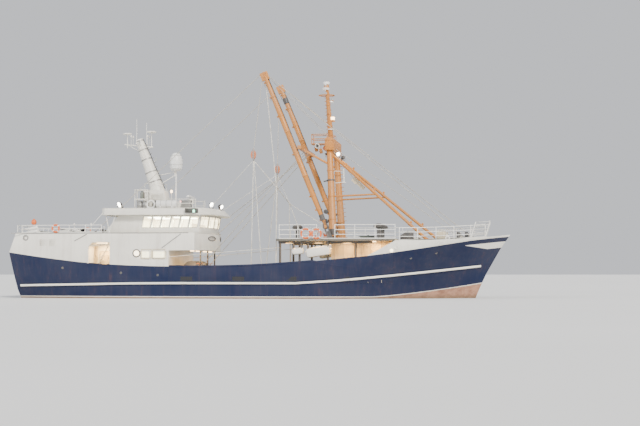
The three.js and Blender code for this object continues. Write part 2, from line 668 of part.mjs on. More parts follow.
function buildRoofGear() {
  const base = roof.top + seat;
  const z = scanner.bedZ + bearing;
  const sweep = join([
    bar([scanner.x, scanner.y, z], [scanner.x, scanner.y, z + 60], 90, 90, 12),
    box(scanner.x - scanner.width / 2, scanner.x + scanner.width / 2,
      scanner.y - scanner.length / 2, scanner.y + scanner.length / 2, z + 50, z + 180),
  ]);
  addPiece('radar_scanner', sweep, paint.white);
  const { stemR, low } = dome;
  const ledge = casing.ledge + seat;
  const shell = [[300, 20], [440, 160], [470, 450], [460, 800], [380, 1100], [220, 1290], [0, 1350]];
  const radome = turned([[0, ledge], [170, ledge], [170, ledge + 25], [stemR, ledge + 60], [stemR, low],
    ...shell.map(([r, h]) => [r, low + h])], [dome.x, 0, 0], 'z', 18);
  addPiece('radome', radome, paint.white);
  const canister = bar([raft.aft, raft.y, raft.z], [raft.fore, raft.y, raft.z], raft.radius, raft.radius, 14);
  const cradle = [raft.aft + 250, raft.fore - 350].map((x) => box(x, x + 90, raft.y - 250, raft.y + 250,
    base, raft.z - 140));
  const keel = box(raft.aft + 200, raft.fore - 200, raft.y - 50, raft.y + 50, base, base + 60);
  addPiece('liferaft', join([canister, ...cradle, keel]), paint.white);
}

// Trawl winch under the front of the deckhouse: a frame and two drums on one line.
const winch = { x: -4550, z: 1980, flange: 620, core: 270, inner: 480, outer: 1750, shaft: 110 };
function buildWinch() {
  const { x, z, flange, core, inner, outer, shaft } = winch;
  const base = deckZ + seat;
  const cheek = outline([[x - 620, base], [x + 620, base], [x + 260, z + 260], [x - 260, z + 260]]);
  const bed = box(x - 700, x + 700, -outer - 260, outer + 260, base, base + 90);
  const gear = box(x - 420, x + 420, -260, 260, base + 50, z + 420);
  const plates = [-inner + 40, inner - 40, -outer - 120, outer + 120].map(
    (y) => sidePlate(cheek, y - 50, y + 50));
  const middle = bar([x, 20 - inner, z], [x, inner - 20, z], 150, 150, 12);
  const motors = [-1, 1].map((side) => bar(
    [x, side * (outer + 160), z], [x, side * (outer + 420), z], 210, 210, 12));
  addPiece('winch_frame', join([bed, gear, ...plates, middle, ...motors]), paint.dark);
  for (const side of [-1, 1]) {
    const name = side < 0 ? 'starboard' : 'port';
    const [a, b] = [inner + 10 + bearing, outer + 70 - bearing];
    const profile = [
      [0, a], [shaft, a], [shaft, a + 50], [flange, a + 50], [flange, a + 90], [core, a + 90],
      [core, b - 90], [flange, b - 90], [flange, b - 50], [shaft, b - 50], [shaft, b], [0, b],
    ];
    const drum = new THREE.LatheGeometry(profile.map(([r, h]) => new THREE.Vector2(r, h)), 14);
    if (side < 0) drum.rotateX(Math.PI);
    addPiece(`winch_drum_${name}`, asSolid(drum.translate(x, 0, z)), paint.steel, 0.5, 0.6);
  }
}

// Fish hold hatch: coaming and a lid hinged at its fore edge.
const hatch = {
  aft: -1700, fore: 500, half: 1100, top: 1700, wall: 90, lid: 70, lip: 60, hinges: [-700, 700],
};
function buildHatch() {
  const { aft, fore, half, top, wall, lid, lip } = hatch;
  const coaming = box(aft, fore, -half, half, deckZ + seat, top)
    .subtract(box(aft + wall, fore - wall, -half + wall, half - wall, deckZ - 10, top + 10));
  const line = { x: fore + lip + 60, z: top + lid / 2 };
  const barrel = (y0, y1) => bar([line.x, y0, line.z], [line.x, y1, line.z], 32, 32, 10);
  const bracket = outline([[fore - 10, top - 220], [line.x + 25, line.z], [line.x - 25, line.z],
    [fore - 10, top - 120]]);
  const lugs = hatch.hinges.flatMap((y) => [barrel(y - 80, y + 80), sidePlate(bracket, y - 80, y + 80)]);
  addPiece('hatch_coaming', join([coaming, ...lugs]), paint.white);
  const plate = box(aft - lip, fore + lip, -half - lip, half + lip, top + seat, top + lid);
  const knuckles = hatch.hinges.flatMap((y) => [-1, 1].flatMap((end) => {
    const [y0, y1] = end < 0 ? [y - 200, y - 80 - bearing] : [y + 80 + bearing, y + 200];
    return [barrel(y0, y1), box(fore + lip - 20, line.x, y0, y1, line.z - 15, line.z + 30)];
  }));
  const ribs = [-600, 0, 600].map((y) => box(
    aft + 100, fore - 100, y - 30, y + 30, top + lid - 5, top + lid + 50));
  addPiece('hatch_lid', join([plate, ...knuckles, ...ribs]), paint.deck);
}

function buildShelterDeck() {
  const { aft, fore, half, under, top } = shelter;
  const narrowing = 6500;
  const plan = outline([[aft, -half + 120], [aft + 120, -half], [narrowing, -half], [fore, -half + 80],
    [fore, half - 80], [narrowing, half], [aft + 120, half], [aft, half - 120]]);
  addPiece('shelter_deck', deckPlate(plan, under, top), paint.cream);
  for (const side of [-1, 1]) {
    const name = side < 0 ? 'starboard' : 'port';
    const y = side * pillar.y;
    const posts = pillar.places.map((x) => bar(
      [x, y, deckZ + seat], [x, y, under - 100], pillar.radius, pillar.radius, 6));
    const beam = box(aft + 60, pillar.beamFore, y - 70, y + 70, under - 170, under - seat);
    addPiece(`pillars_${name}`, join([beam, ...posts]), paint.dark);
  }
  const block = box(store.aft, store.fore, -store.half, store.half, deckZ + seat, under - seat);
  const door = doorParts([store.aft, -700, deckZ + 250], -90, 760, 1800);
  addPiece('store_house', join([block, ...door.lugs]), paint.cream);
  addPiece('store_door', door.leaf, paint.cream);
}

function buildGantry() {
  const { x, footY, topX, topY, topZ, footR, topR, headHeight, headLength, headHalf, headChamfer } = gantry;
  const deck = shelter.top + seat;
  const far = 20000;
  const legs = {};
  for (const side of [-1, 1]) {
    const name = side < 0 ? 'starboard' : 'port';
    const low = [x + 60, side * (footY + 150), deck - 1100];
    const lift = (grow) => bar(low, [topX - 20, side * (topY - 50), topZ + 420],
      footR + 20 + grow, topR - 10 + grow, 14);
    const post = lift(0).intersect(box(0, far, -far, far, deck, topZ));
    const sole = box(x - 400, x + 400, side * footY - 335, side * footY + 335, deck, deck + 50);
    legs[name] = lift(seat);
    addPiece(`gantry_leg_${name}`, post.add(sole), paint.buff);
  }
  const low = topZ + seat;
  const high = topZ + headHeight;
  const aft = topX - headLength / 2;
  const fore = topX + headLength / 2;
  const beam = sidePlate(outline([[aft, low], [fore, low], [fore, high - headChamfer],
    [fore - headChamfer, high], [aft + headChamfer, high], [aft, high - headChamfer]]), -headHalf, headHalf);
  addPiece('gantry_head', beam, paint.buff);
  const { size, armY, armSize, armX, armZ } = restBeam;
  const rest = box(restBeam.x - size / 2, restBeam.x + size / 2, -restBeam.half, restBeam.half,
    restBeam.z - size / 2, restBeam.z + size / 2);
  const armHalf = armSize / 2;
  const slant = outline([[restBeam.x, restBeam.z - armHalf], [armX, armZ - armHalf],
    [armX, armZ + armHalf], [restBeam.x, restBeam.z + armHalf]]);
  const arms = [-armY, armY].map((y) => sidePlate(slant, y - armHalf, y + armHalf));
  addPiece('boom_rest', join([rest, ...arms]).subtract(legs.starboard).subtract(legs.port), paint.buff);
  const { floor, top, middle, tube: rimR } = basket;
  const rimFore = aft - seat - 40;
  const corner = [[basket.aft, -basket.half], [basket.aft, basket.half],
    [rimFore, basket.half], [rimFore, -basket.half]];
  const rim = [floor + middle, top].flatMap((z) => [0, 1, 3].map((k) => {
    const [p, q] = [corner[k], corner[(k + 1) % 4]];
    return bar([...p, z], [...q, z], rimR - 2, rimR - 2, 6);
  }));
  const stands = corner.map((p) => bar([...p, floor], [...p, top], rimR, rimR, 6));
  const plate = box(basket.aft - 40, aft - seat, -basket.half - 40, basket.half + 40, floor, floor + 50);
  addPiece('lookout', join([plate, ...stands, ...rim]), paint.buff);
  const { baseZ, baseR, ringZ, ringR, ringTube } = poleMast;
  const pole = bar([poleMast.x, 0, high + seat], [poleMast.topX, 0, poleMast.topZ], baseR, poleMast.topR, 12);
  const hub = poleMast.topX + 20;
  const ring = asSolid(new THREE.TorusGeometry(ringR, ringTube, 5, 16).translate(hub, 0, ringZ));
  const spokes = [0, 1].map((k) => bar([hub - ringR * (1 - k), -ringR * k, ringZ],
    [hub + ringR * (1 - k), ringR * k, ringZ], 20, 20, 6));
  const shelves = [[13880, 480], [12420, 560], [11960, 380]].map(([z, reach]) => box(
    hub + 30, hub + 30 + reach, -90, 90, z - 25, z + 25));
  const lamp = bar([5200, 0, 12440], [5200, 0, 12760], 130, 130, 10);
  const cap = bar([poleMast.topX, 0, 14700], [poleMast.topX, 0, 15050], 210, 160, 10);
  const trunk = pole.intersect(box(0, far, -far, far, baseZ, far));
  addPiece('pole_mast', join([trunk, ring, ...spokes, ...shelves, lamp, cap]), paint.buff);
  for (const side of [-1, 1]) {
    const name = side < 0 ? 'starboard' : 'port';
    const { strutY, strutR, strutTop, soleTop, tieZ, tieR } = gantry;
    const foot = gantry.strutX[name];
    const start = [topX + 60, side * (topY - 20), strutTop];
    const end = [foot + 240, side * (strutY + 15), 3960 - 250];
    const tube = bar(start, end, strutR, strutR, 10);
    const sole = box(foot - 350, foot + 350, side * strutY - 300, side * strutY + 300, 3900, soleTop);
    const down = (start[2] - tieZ - 150) / (start[2] - end[2]);
    const meet = start.map((v, k) => v + (end[k] - v) * down);
    const tie = bar([x - 200, side * 2420, tieZ], meet, tieR, tieR, 8);
    const strut = join([tube, sole, tie]).subtract(legs[name])
      .subtract(box(-far, x + 40, -far, far, 6000, 8000))
      .subtract(forecastleSolid(seat)).subtract(box(0, far, -far, far, -far, 3700));
    addPiece(`gantry_strut_${name}`, strut, paint.buff);
  }
}

// The taut stays from the gantry's head to eye plates on the foredeck.
function buildForeStays() {
  const { topY, topZ, footX, footY, footZ, wireR, eye } = foreStay;
  const headFace = gantry.topX + gantry.headLength / 2 + seat;
  const deck = forecastleSolid(seat);
  const far = 20000;
  for (const side of [-1, 1]) {
    const name = side < 0 ? 'starboard' : 'port';
    const y = side * footY;
    const wire = bar([gantry.topX, side * topY, topZ], [footX, y, footZ], wireR, wireR, 8);
    const plate = box(footX - eye, footX + 20, y - 22, y + 22, footZ, footZ + eye + 60);
    const stay = join([wire, plate]).subtract(box(0, headFace, -far, far, 0, far)).subtract(deck);
    addPiece(`fore_stay_${name}`, stay, paint.steel, 0.5, 0.6);
  }
}

// Turn from the boom's own frame, with its pin along X and the boom along Z, to the ship's.
function boomFrame(side) {
  const rake = boom.rake * Math.PI / 180;
  const pin = new THREE.Vector3(Math.cos(rake), 0, Math.sin(rake));
  const up = new THREE.Vector3(-Math.sin(rake), 0, Math.cos(rake));
  up.applyAxisAngle(pin, -side * boom.splay * Math.PI / 180);
  const across = new THREE.Vector3().crossVectors(up, pin);
  const frame = new THREE.Matrix4().makeBasis(pin, across, up);
  return frame.setPosition(boom.heel.x, side * boom.heel.y, boom.heel.z);
}

function buildBooms() {
  const far = 20000;
  for (const { name, side, x, z } of blocks) {
    const frame = boomFrame(side);
    const place = (geometry) => asSolid(geometry.applyMatrix4(frame));
    const block = (x0, x1, y0, y1, z0, z1) => place(new THREE.BoxGeometry(x1 - x0, y1 - y0, z1 - z0)
      .translate((x0 + x1) / 2, (y0 + y1) / 2, (z0 + z1) / 2));
    const { length, heelR, midR, tipR, eyeR, eyeWidth, pinR, bore, cheek } = boom;
    const halfEye = eyeWidth / 2;
    const eye = new THREE.LatheGeometry([[bore, -halfEye], [eyeR, -halfEye], [eyeR, halfEye], [bore, halfEye],
      [bore, -halfEye]].map(([r, h]) => new THREE.Vector2(r, h)), 16).rotateZ(-Math.PI / 2);
    const bands = [0.33, 0.62].flatMap((share) => [[midR, -50], [midR + 18, -50], [midR + 18, 50], [midR, 50]]
      .map(([r, h]) => [r, share * length + h]));
    const taper = [[0, 380], [heelR, 380], [midR, 2200], ...bands, [midR, length - 3000],
      [tipR, length - 260], [0, length - 260]];
    const spar = new THREE.LatheGeometry(taper.map(([r, h]) => new THREE.Vector2(r, h)), 12)
      .rotateX(Math.PI / 2);
    const neck = block(-halfEye, halfEye, -100, 100, 130, 520);
    const head = block(-40, 40, -150, 150, length - 420, length + 90);
    addPiece(`boom_${name}`, join([place(eye), neck, place(spar), head]), paint.buff);

    const gap = halfEye + bearing;
    const cheeks = [-1, 1].map((end) => {
      const shape = outline([[-230, -1400], [230, -1400], [200, 0], [140, 150], [0, 200],
        [-140, 150], [-200, 0]]);
      const plate = new THREE.ExtrudeGeometry(shape, { depth: cheek, bevelEnabled: false });
      plate.applyMatrix4(new THREE.Matrix4().makeBasis(
        new THREE.Vector3(0, 1, 0), new THREE.Vector3(0, 0, 1), new THREE.Vector3(1, 0, 0)));
      return place(plate.translate(end > 0 ? gap : -gap - cheek, 0, 0));
    });
    const pin = place(new THREE.CylinderGeometry(pinR, pinR, 2 * (gap + cheek) + 40, 16)
      .rotateZ(-Math.PI / 2));
    const web = block(-gap - 10, gap + 10, -200, 200, -1400, -340);
    const heelY = side * boom.heel.y;
    const sole = box(boom.heel.x - 100, boom.heel.x + 900, heelY - 245, heelY + 245,
      shelter.top + seat, shelter.top + 60);
    const above = box(-far, far, -far, far, shelter.top + seat, far);
    addPiece(`boom_step_${name}`, join([...cheeks, pin, web, sole]).intersect(above), paint.dark);

    const hang = new THREE.Vector3(-56.5, 0, length + 20).applyMatrix4(frame);
    const wire = bar(hang.toArray(), [x, side * blockY, z - 60], 20, 20, 6);
    const shell = new THREE.CylinderGeometry(230, 230, 180, 14).scale(0.8, 1, 1.35)
      .translate(x, side * blockY, z - 330);
    addPiece(`block_${name}`, wire.add(asSolid(shell)), paint.orange);
  }
}

// A rail along a path in plan: a comb of posts and bars bent to the path. Each point is x, y
// and the height of its foot; gaps are left open above the foot plate.
function railBars(path, height, bars, spacing, gaps = [], bend = 900) {
  const steps = [0];
  for (let i = 1; i < path.length; i += 1) {
    steps.push(steps[i - 1] + Math.hypot(path[i][0] - path[i - 1][0], path[i][1] - path[i - 1][1]));
  }
  const total = steps[steps.length - 1];
  const at = (s) => {
    const i = Math.min(Math.max(steps.findIndex((v) => v >= s) - 1, 0), path.length - 2);
    const [here, next, span] = [path[i], path[i + 1], steps[i + 1] - steps[i]];
    const t = (s - steps[i]) / span;
    const [sin, cos] = [(next[1] - here[1]) / span, (next[0] - here[0]) / span];
    return [...here.map((v, k) => v + (next[k] - v) * t), sin, cos];
  };
  const spans = [];
  let open = 0;
  for (const [from, to] of gaps) {
    spans.push([open, from]);
    open = to;
  }
  spans.push([open, total]);
  const slab = (s0, s1, z0, z1) => {
    const parts = Math.max(1, Math.round((s1 - s0) / bend));
    const geometry = new THREE.BoxGeometry(s1 - s0, railBar, z1 - z0, parts, 1, 1);
    return asSolid(geometry.translate((s0 + s1) / 2, 0, (z0 + z1) / 2));
  };
  const pieces = [slab(0, total, 0, 60)];
  for (const [from, to] of spans) {
    const count = Math.max(1, Math.round((to - from) / spacing));
    for (let k = 0; k <= count; k += 1) {
      const s = from + (to - from) * k / count;
      const s0 = Math.min(Math.max(s - railBar / 2, from), to - railBar);
      pieces.push(slab(s0, s0 + railBar, 20, height));
    }
    for (const share of bars) pieces.push(slab(from, to, share * height - railBar, share * height));
  }
  return reshape(join(pieces), (s, across, z) => {
    const [x, y, foot, sin, cos] = at(Math.min(Math.max(s, 0), total));
    return [x - across * sin, y + across * cos, foot + z];
  });
}

// A taller frame in the rail's line, its two posts leaning forward, with rungs between them.
function gateFrame(aftFoot, foreFoot) {
  const rise = (foot, share) => [foot[0] + share * gate.lean, foot[1], foot[2] + share * gate.height];
  const posts = [aftFoot, foreFoot].map((foot) => bar(foot, rise(foot, 1), gate.postR, gate.postR, 8));
  const rungs = gate.rungs.map((share) => bar(
    rise(aftFoot, share), rise(foreFoot, share), gate.rungR, gate.rungR, 6));
  return join([...posts, ...rungs]);
}

function buildRails() {
  const { high, bow, low, three, two } = railing;
  for (const side of [-1, 1]) {
    const name = side < 0 ? 'starboard' : 'port';
    const quarter = [0.012, 0.05, 0.1, 0.15, 0.183].map((share) => [
      hullX(share, houseTop), side * (fair('side', share) - 60), houseTop + seat]);
    addPiece(`rail_quarter_${name}`, railBars(quarter, low, two, 1100, [], 2000), paint.white);

    const waistY = side * (shelter.half - 100);
    const [waistAft, waistFore, deck] = [shelter.aft + 180, shelter.fore - 60, shelter.top + seat];
    const opening = [boom.heel.x - 560 - waistAft, boom.heel.x + 640 - waistAft];
    const waist = railBars([[waistAft, waistY, deck], [waistFore, waistY, deck]],
      high, three, 1300, [opening], 20000);
    addPiece(`rail_waist_${name}`, waist, paint.white);

    const edge = [0.79, 0.84, 0.89, 0.93, 0.958].map((share) => [
      hullX(share, 4000), side * (straight('top', share) - 110), straight('head', share) - 12]);
    const fence = railBars(edge, bow, three, 1150, [], 1150).add(gateFrame(edge[3], edge[4]));
    addPiece(`rail_bow_${name}`, fence.subtract(forecastleSolid(seat)), paint.white);
  }
  const sternX = hullX(0, houseTop) + plating / 2;
  const stern = [[sternX, -3400, houseTop + seat], [sternX, 3400, houseTop + seat]];
  addPiece('rail_stern', railBars(stern, low, two, 1100, [], 20000), paint.white);
}

function buildForedeck() {
  const deck = forecastleSolid(seat);
  const { aft, fore, half, z, barrel, reach, gypsy } = windlass;
  const x = (aft + fore) / 2;
  const bed = box(aft, fore, -half, half, 3900, 4080);
  const shaft = bar([x, -reach, z], [x, reach, z], barrel, barrel, 14);
  const cheek = outline([[aft + 150, 4050], [fore - 150, 4050], [x + 200, z + 180], [x - 200, z + 180]]);
  const cheeks = [80 - half, half - 80].map((y) => sidePlate(cheek, y - 60, y + 60));
  const drum = bar([x, -420, z], [x, 420, z], gypsy, gypsy, 16);
  const heads = [-1, 1].map((end) => bar(
    [x, end * (reach - 250), z], [x, end * (reach + 50), z], 200, 230, 14));
  addPiece('windlass', join([bed, shaft, drum, ...cheeks, ...heads]).subtract(deck), paint.steel, 0.6, 0.5);
  const chest = sidePlate(outline([[locker.aft, 3900], [locker.fore, 3900], [locker.fore, locker.high - 60],
    [locker.fore - 400, locker.high], [locker.aft, locker.low]]), -locker.outer, -locker.inner);
  addPiece('foredeck_locker', chest.subtract(deck), paint.dark);
  for (const side of [-1, 1]) {
    const name = side < 0 ? 'starboard' : 'port';
    const y = side * bitts.y;
    const posts = bitts.posts.map((place) => bar(
      [place, y, 4040], [place, y, bitts.top], bitts.radius, bitts.radius, 16));
    const base = box(bitts.posts[0] - 200, bitts.posts[1] + 200, y - 180, y + 180, 4020, 4150);
    addPiece(`bitts_${name}`, join([base, ...posts]).subtract(deck), paint.dark);
  }
}

buildHull();
buildForecastle();
buildBelting();
buildFin();
buildScrew();
buildRudder();
buildDeckhouse();
buildBridgeSides();
buildBridgeFront();
buildBridgeAft();
buildRoof();
buildConsole();
buildAftMast();
buildRoofGear();
buildWinch();
buildHatch();
buildShelterDeck();
buildGantry();
buildForeStays();
buildBooms();
buildRails();
buildForedeck();

export default group;
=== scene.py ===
# The looks of a steel fishing trawler: the finish of its pieces and the fittings, glass,
# lamps and rigging that its construction carries. Units are metres, +X to the bow.
import bpy
import json
import math
from mathutils import Matrix, Vector
from mathutils.bvhtree import BVHTree

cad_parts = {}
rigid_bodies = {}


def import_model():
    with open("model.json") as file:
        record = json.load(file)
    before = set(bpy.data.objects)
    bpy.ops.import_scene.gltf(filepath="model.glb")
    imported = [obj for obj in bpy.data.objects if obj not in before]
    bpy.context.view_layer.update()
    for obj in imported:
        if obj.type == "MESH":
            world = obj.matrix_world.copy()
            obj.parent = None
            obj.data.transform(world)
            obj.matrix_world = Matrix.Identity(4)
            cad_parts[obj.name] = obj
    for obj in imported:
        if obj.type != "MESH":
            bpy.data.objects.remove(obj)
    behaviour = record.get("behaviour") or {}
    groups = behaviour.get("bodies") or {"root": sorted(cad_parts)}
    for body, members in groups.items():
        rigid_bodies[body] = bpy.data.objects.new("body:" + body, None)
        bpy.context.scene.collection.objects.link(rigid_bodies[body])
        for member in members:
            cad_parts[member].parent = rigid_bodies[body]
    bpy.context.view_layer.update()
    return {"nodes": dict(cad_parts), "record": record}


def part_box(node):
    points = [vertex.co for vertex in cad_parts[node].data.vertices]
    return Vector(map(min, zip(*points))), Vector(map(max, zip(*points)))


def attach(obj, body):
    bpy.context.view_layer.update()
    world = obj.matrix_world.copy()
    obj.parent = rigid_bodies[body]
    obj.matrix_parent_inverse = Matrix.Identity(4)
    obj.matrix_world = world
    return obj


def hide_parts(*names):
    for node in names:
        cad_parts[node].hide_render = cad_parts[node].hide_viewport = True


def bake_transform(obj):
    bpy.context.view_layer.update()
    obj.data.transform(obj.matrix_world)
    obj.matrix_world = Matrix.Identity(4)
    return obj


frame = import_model()
nodes = frame["nodes"]

# Places taken from the construction.
SIDES = (("starboard", -1), ("port", 1))
DECK = 1.05
BOAT_DECK = 3.95
ROOF_TOP = 6.22
SHELTER_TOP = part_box("shelter_deck")[1].z
LOOKOUT_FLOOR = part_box("lookout")[0].z
REST_BEAM_X, REST_BEAM_Z = 3.34, 10.2

# The wheelhouse windows, as the construction cuts them.
BRIDGE_HALF = 3.35
WALL = 0.08
SILL = 4.89
HEAD = 5.63
WINDOW_FIRST = -7.69
WINDOW_PITCH = 0.662
WINDOW_WIDE = 0.56
WINDOW_LEAN = 0.15
SIDE_WINDOWS = 6
FRONT_X = -3.67
FRONT_CAMBER = 0.52
FRONT_RAKE = 0.14
FRONT_WINDOWS = 5
FRONT_POST = 0.11
AFT_X = -8.8

# The booms' heels, their rake and their splay.
HEEL = Vector((5.13, 3.4, 4.9))
RAKE = math.radians(22)
SPLAY = math.radians(1)

# The dressing of the plates: metres for the merge, degrees for the rest.
MERGE_WITHIN = 0.0004
FLAT_WITHIN = 0.6
BEVEL_ANGLE = 32
PLATE_SMOOTH = 35

# The walls that the passage doors hang on, and the places that more than one piece needs.
PASSAGE_WALL = 2.38
LEG_FOOT, LEG_HEAD = (5.56, 2.8, 4.06), (5.24, 2.0, 10.2)
LEG_RISE, LEG_FOOT_RADIUS, LEG_TAPER = 6.14, 0.29, 0.075
STARBOARD_LEG_LINE = (-0.32, 0.8, LEG_RISE)
MAST_FOOT_RADIUS, MAST_HEAD_RADIUS = 0.52, 0.27
DRUM_X, DRUM_Z = -4.55, 1.98


# Modelling: pieces are built up from primitives in edit mode, one at a time.
def clear_hands():
    if bpy.context.mode != "OBJECT":
        bpy.ops.object.mode_set(mode="OBJECT")
    bpy.ops.object.select_all(action="DESELECT")


def take(piece):
    clear_hands()
    piece.select_set(True)
    bpy.context.view_layer.objects.active = piece


def begin(name):
    clear_hands()
    piece = bpy.data.objects.new(name, bpy.data.meshes.new(name))
    bpy.context.scene.collection.objects.link(piece)
    take(piece)
    bpy.ops.object.mode_set(mode="EDIT")
    return piece


# Ends the piece in hand: softened edges, its paint, the body that it rides on and its slot.
def finish(material, body="root", bevel=0.0, smooth=40):
    piece = bpy.context.view_layer.objects.active
    take(piece)
    if bevel:
        edge = piece.modifiers.new("edge", "BEVEL")
        edge.width = bevel
        edge.segments = 2
        edge.limit_method = "ANGLE"
        edge.angle_limit = math.radians(BEVEL_ANGLE)
        bpy.ops.object.modifier_apply(modifier="edge")
    bpy.ops.object.shade_smooth_by_angle(angle=math.radians(smooth))
    piece.data.materials.clear()
    piece.data.materials.append(material)
    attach(piece, body)


def rod(a, b, r, r2=None, sides=10):
    a, b = Vector(a), Vector(b)
    bpy.ops.mesh.select_all(action="DESELECT")
    turn = (b - a).to_track_quat("Z", "Y").to_euler()
    bpy.ops.mesh.primitive_cone_add(vertices=sides, radius1=r, radius2=r if r2 is None else r2,
                                    depth=(b - a).length, location=(a + b) / 2, rotation=turn)


def slab(low, high, edge=0.01, turn=(0, 0, 0)):
    low, high = Vector(low), Vector(high)
    bpy.ops.mesh.select_all(action="DESELECT")
    bpy.ops.mesh.primitive_cube_add(size=1, location=(low + high) / 2, rotation=turn, scale=high - low)
    if edge:
        bpy.ops.mesh.bevel(offset=edge, segments=2, affect="EDGES")


def ring(centre, radius, thick, axis=(0, 0, 1), around=24, across=8):
    bpy.ops.mesh.select_all(action="DESELECT")
    turn = Vector(axis).to_track_quat("Z", "Y").to_euler()
    bpy.ops.mesh.primitive_torus_add(major_radius=radius, minor_radius=thick, location=centre, rotation=turn,
                                     major_segments=around, minor_segments=across)


def ball(centre, radius, shape=(1, 1, 1), around=14):
    bpy.ops.mesh.select_all(action="DESELECT")
    bpy.ops.mesh.primitive_uv_sphere_add(segments=around, ring_count=around // 2 + 1, radius=radius,
                                         location=centre, scale=shape)


# A turned form: rings of the given radii and heights along a direction, extruded one from another.
def turned(profile, foot, axis=(0, 0, 1), sides=20):
    axis = Vector(axis).normalized()
    turn = axis.to_track_quat("Z", "Y").to_euler()
    radius, height = profile[0]
    centre = Vector(foot) + axis * height
    bpy.ops.mesh.select_all(action="DESELECT")
    bpy.ops.mesh.primitive_circle_add(vertices=sides, radius=radius, fill_type="NGON", location=centre,
                                      rotation=turn)
    for wide, high in profile[1:]:
        bpy.ops.mesh.extrude_region_move(TRANSFORM_OT_translate={"value": axis * (high - height)})
        centre = Vector(foot) + axis * high
        share = wide / radius
        bpy.ops.transform.resize(value=(share, share, share), center_override=centre)
        radius, height = wide, high
    bpy.ops.mesh.select_linked()
    bpy.ops.mesh.normals_make_consistent(inside=False)


# A taut wire between two points, as one thin rod; one that leads to another body is attached to no body.
def stay(name, a, b, radius, material, other=None):
    piece = begin(name)
    rod(a, b, radius, sides=8)
    take(piece)
    bpy.ops.object.shade_smooth_by_angle(angle=math.radians(60))
    piece.data.materials.append(material)
    if other:
        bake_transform(piece)
    else:
        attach(piece, "root")


# The dressed copy of a construction piece: clean faces, softened edges, smooth curves.
def dress(node, material, bevel):
    source = nodes[node]
    piece = source.copy()
    piece.data = source.data.copy()
    for key in list(piece.keys()):
        del piece[key]
    piece.name = node + "_plating"
    piece.parent = None
    bpy.context.scene.collection.objects.link(piece)
    piece.hide_render = False
    take(piece)
    bpy.ops.object.mode_set(mode="EDIT")
    bpy.ops.mesh.select_all(action="SELECT")
    bpy.ops.mesh.remove_doubles(threshold=MERGE_WITHIN)
    bpy.ops.mesh.dissolve_limited(angle_limit=math.radians(FLAT_WITHIN))
    clear_hands()
    body = next(name for name, held in frame["record"]["behaviour"]["bodies"].items() if node in held)
    finish(material, body, bevel, PLATE_SMOOTH)
    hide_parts(node)


# Materials. A few effects are node groups that several paints share.
def add(tree, kind, **values):
    node = tree.nodes.new(kind)
    for key, value in values.items():
        if key in node.inputs:
            node.inputs[key].default_value = value
        else:
            setattr(node, key, value)
    return node


def link(tree, start, end):
    tree.links.new(start, end)


def mathnode(tree, operation, first, second=0.0, clamp=False):
    node = tree.nodes.new("ShaderNodeMath")
    node.operation = operation
    node.use_clamp = clamp
    for socket, value in zip(node.inputs, (first, second)):
        if isinstance(value, (int, float)):
            socket.default_value = value
        else:
            tree.links.new(value, socket)
    return node.outputs[0]


def times(tree, first, second, clamp=False):
    return mathnode(tree, "MULTIPLY", first, second, clamp)


def plus(tree, first, second, clamp=False):
    return mathnode(tree, "ADD", first, second, clamp)


# The three parts of a vector.
def axes(tree, vector):
    node = tree.nodes.new("ShaderNodeSeparateXYZ")
    link(tree, vector, node.inputs[0])
    return node.outputs


def noise(tree, vector, scale, detail=4.0, rough=0.55):
    node = add(tree, "ShaderNodeTexNoise")
    node.inputs["Scale"].default_value = scale
    node.inputs["Detail"].default_value = detail
    node.inputs["Roughness"].default_value = rough
    link(tree, vector, node.inputs["Vector"])
    return node.outputs["Fac"]


def stretch(tree, vector, scale):
    node = add(tree, "ShaderNodeMapping")
    node.inputs["Scale"].default_value = scale
    link(tree, vector, node.inputs["Vector"])
    return node.outputs["Vector"]


def remap(tree, value, low, high, to_low=0.0, to_high=1.0):
    node = add(tree, "ShaderNodeMapRange")
    for key, number in zip(("From Min", "From Max", "To Min", "To Max"), (low, high, to_low, to_high)):
        node.inputs[key].default_value = number
    link(tree, value, node.inputs["Value"])
    return node.outputs["Result"]


def blendnode(tree, share, first, second, mode="MIX"):
    node = tree.nodes.new("ShaderNodeMix")
    node.data_type = "RGBA"
    node.blend_type = mode
    for socket, value in ((node.inputs[0], share), (node.inputs[6], first), (node.inputs[7], second)):
        if isinstance(value, (int, float)):
            socket.default_value = value
        elif isinstance(value, (tuple, list)):
            socket.default_value = (*value[:3], 1)
        else:
            tree.links.new(value, socket)
    return node.outputs[2]


def new_group(name, inputs, outputs):
    tree = bpy.data.node_groups.new(name, "ShaderNodeTree")
    for kind, title, value in inputs:
        socket = tree.interface.new_socket(title, in_out="INPUT", socket_type=kind)
        if value is not None:
            socket.default_value = value
    for kind, title in outputs:
        tree.interface.new_socket(title, in_out="OUTPUT", socket_type=kind)
    return tree, tree.nodes.new("NodeGroupInput"), tree.nodes.new("NodeGroupOutput")


FLOAT = "NodeSocketFloat"
COLOUR = "NodeSocketColor"
VECTOR = "NodeSocketVector"


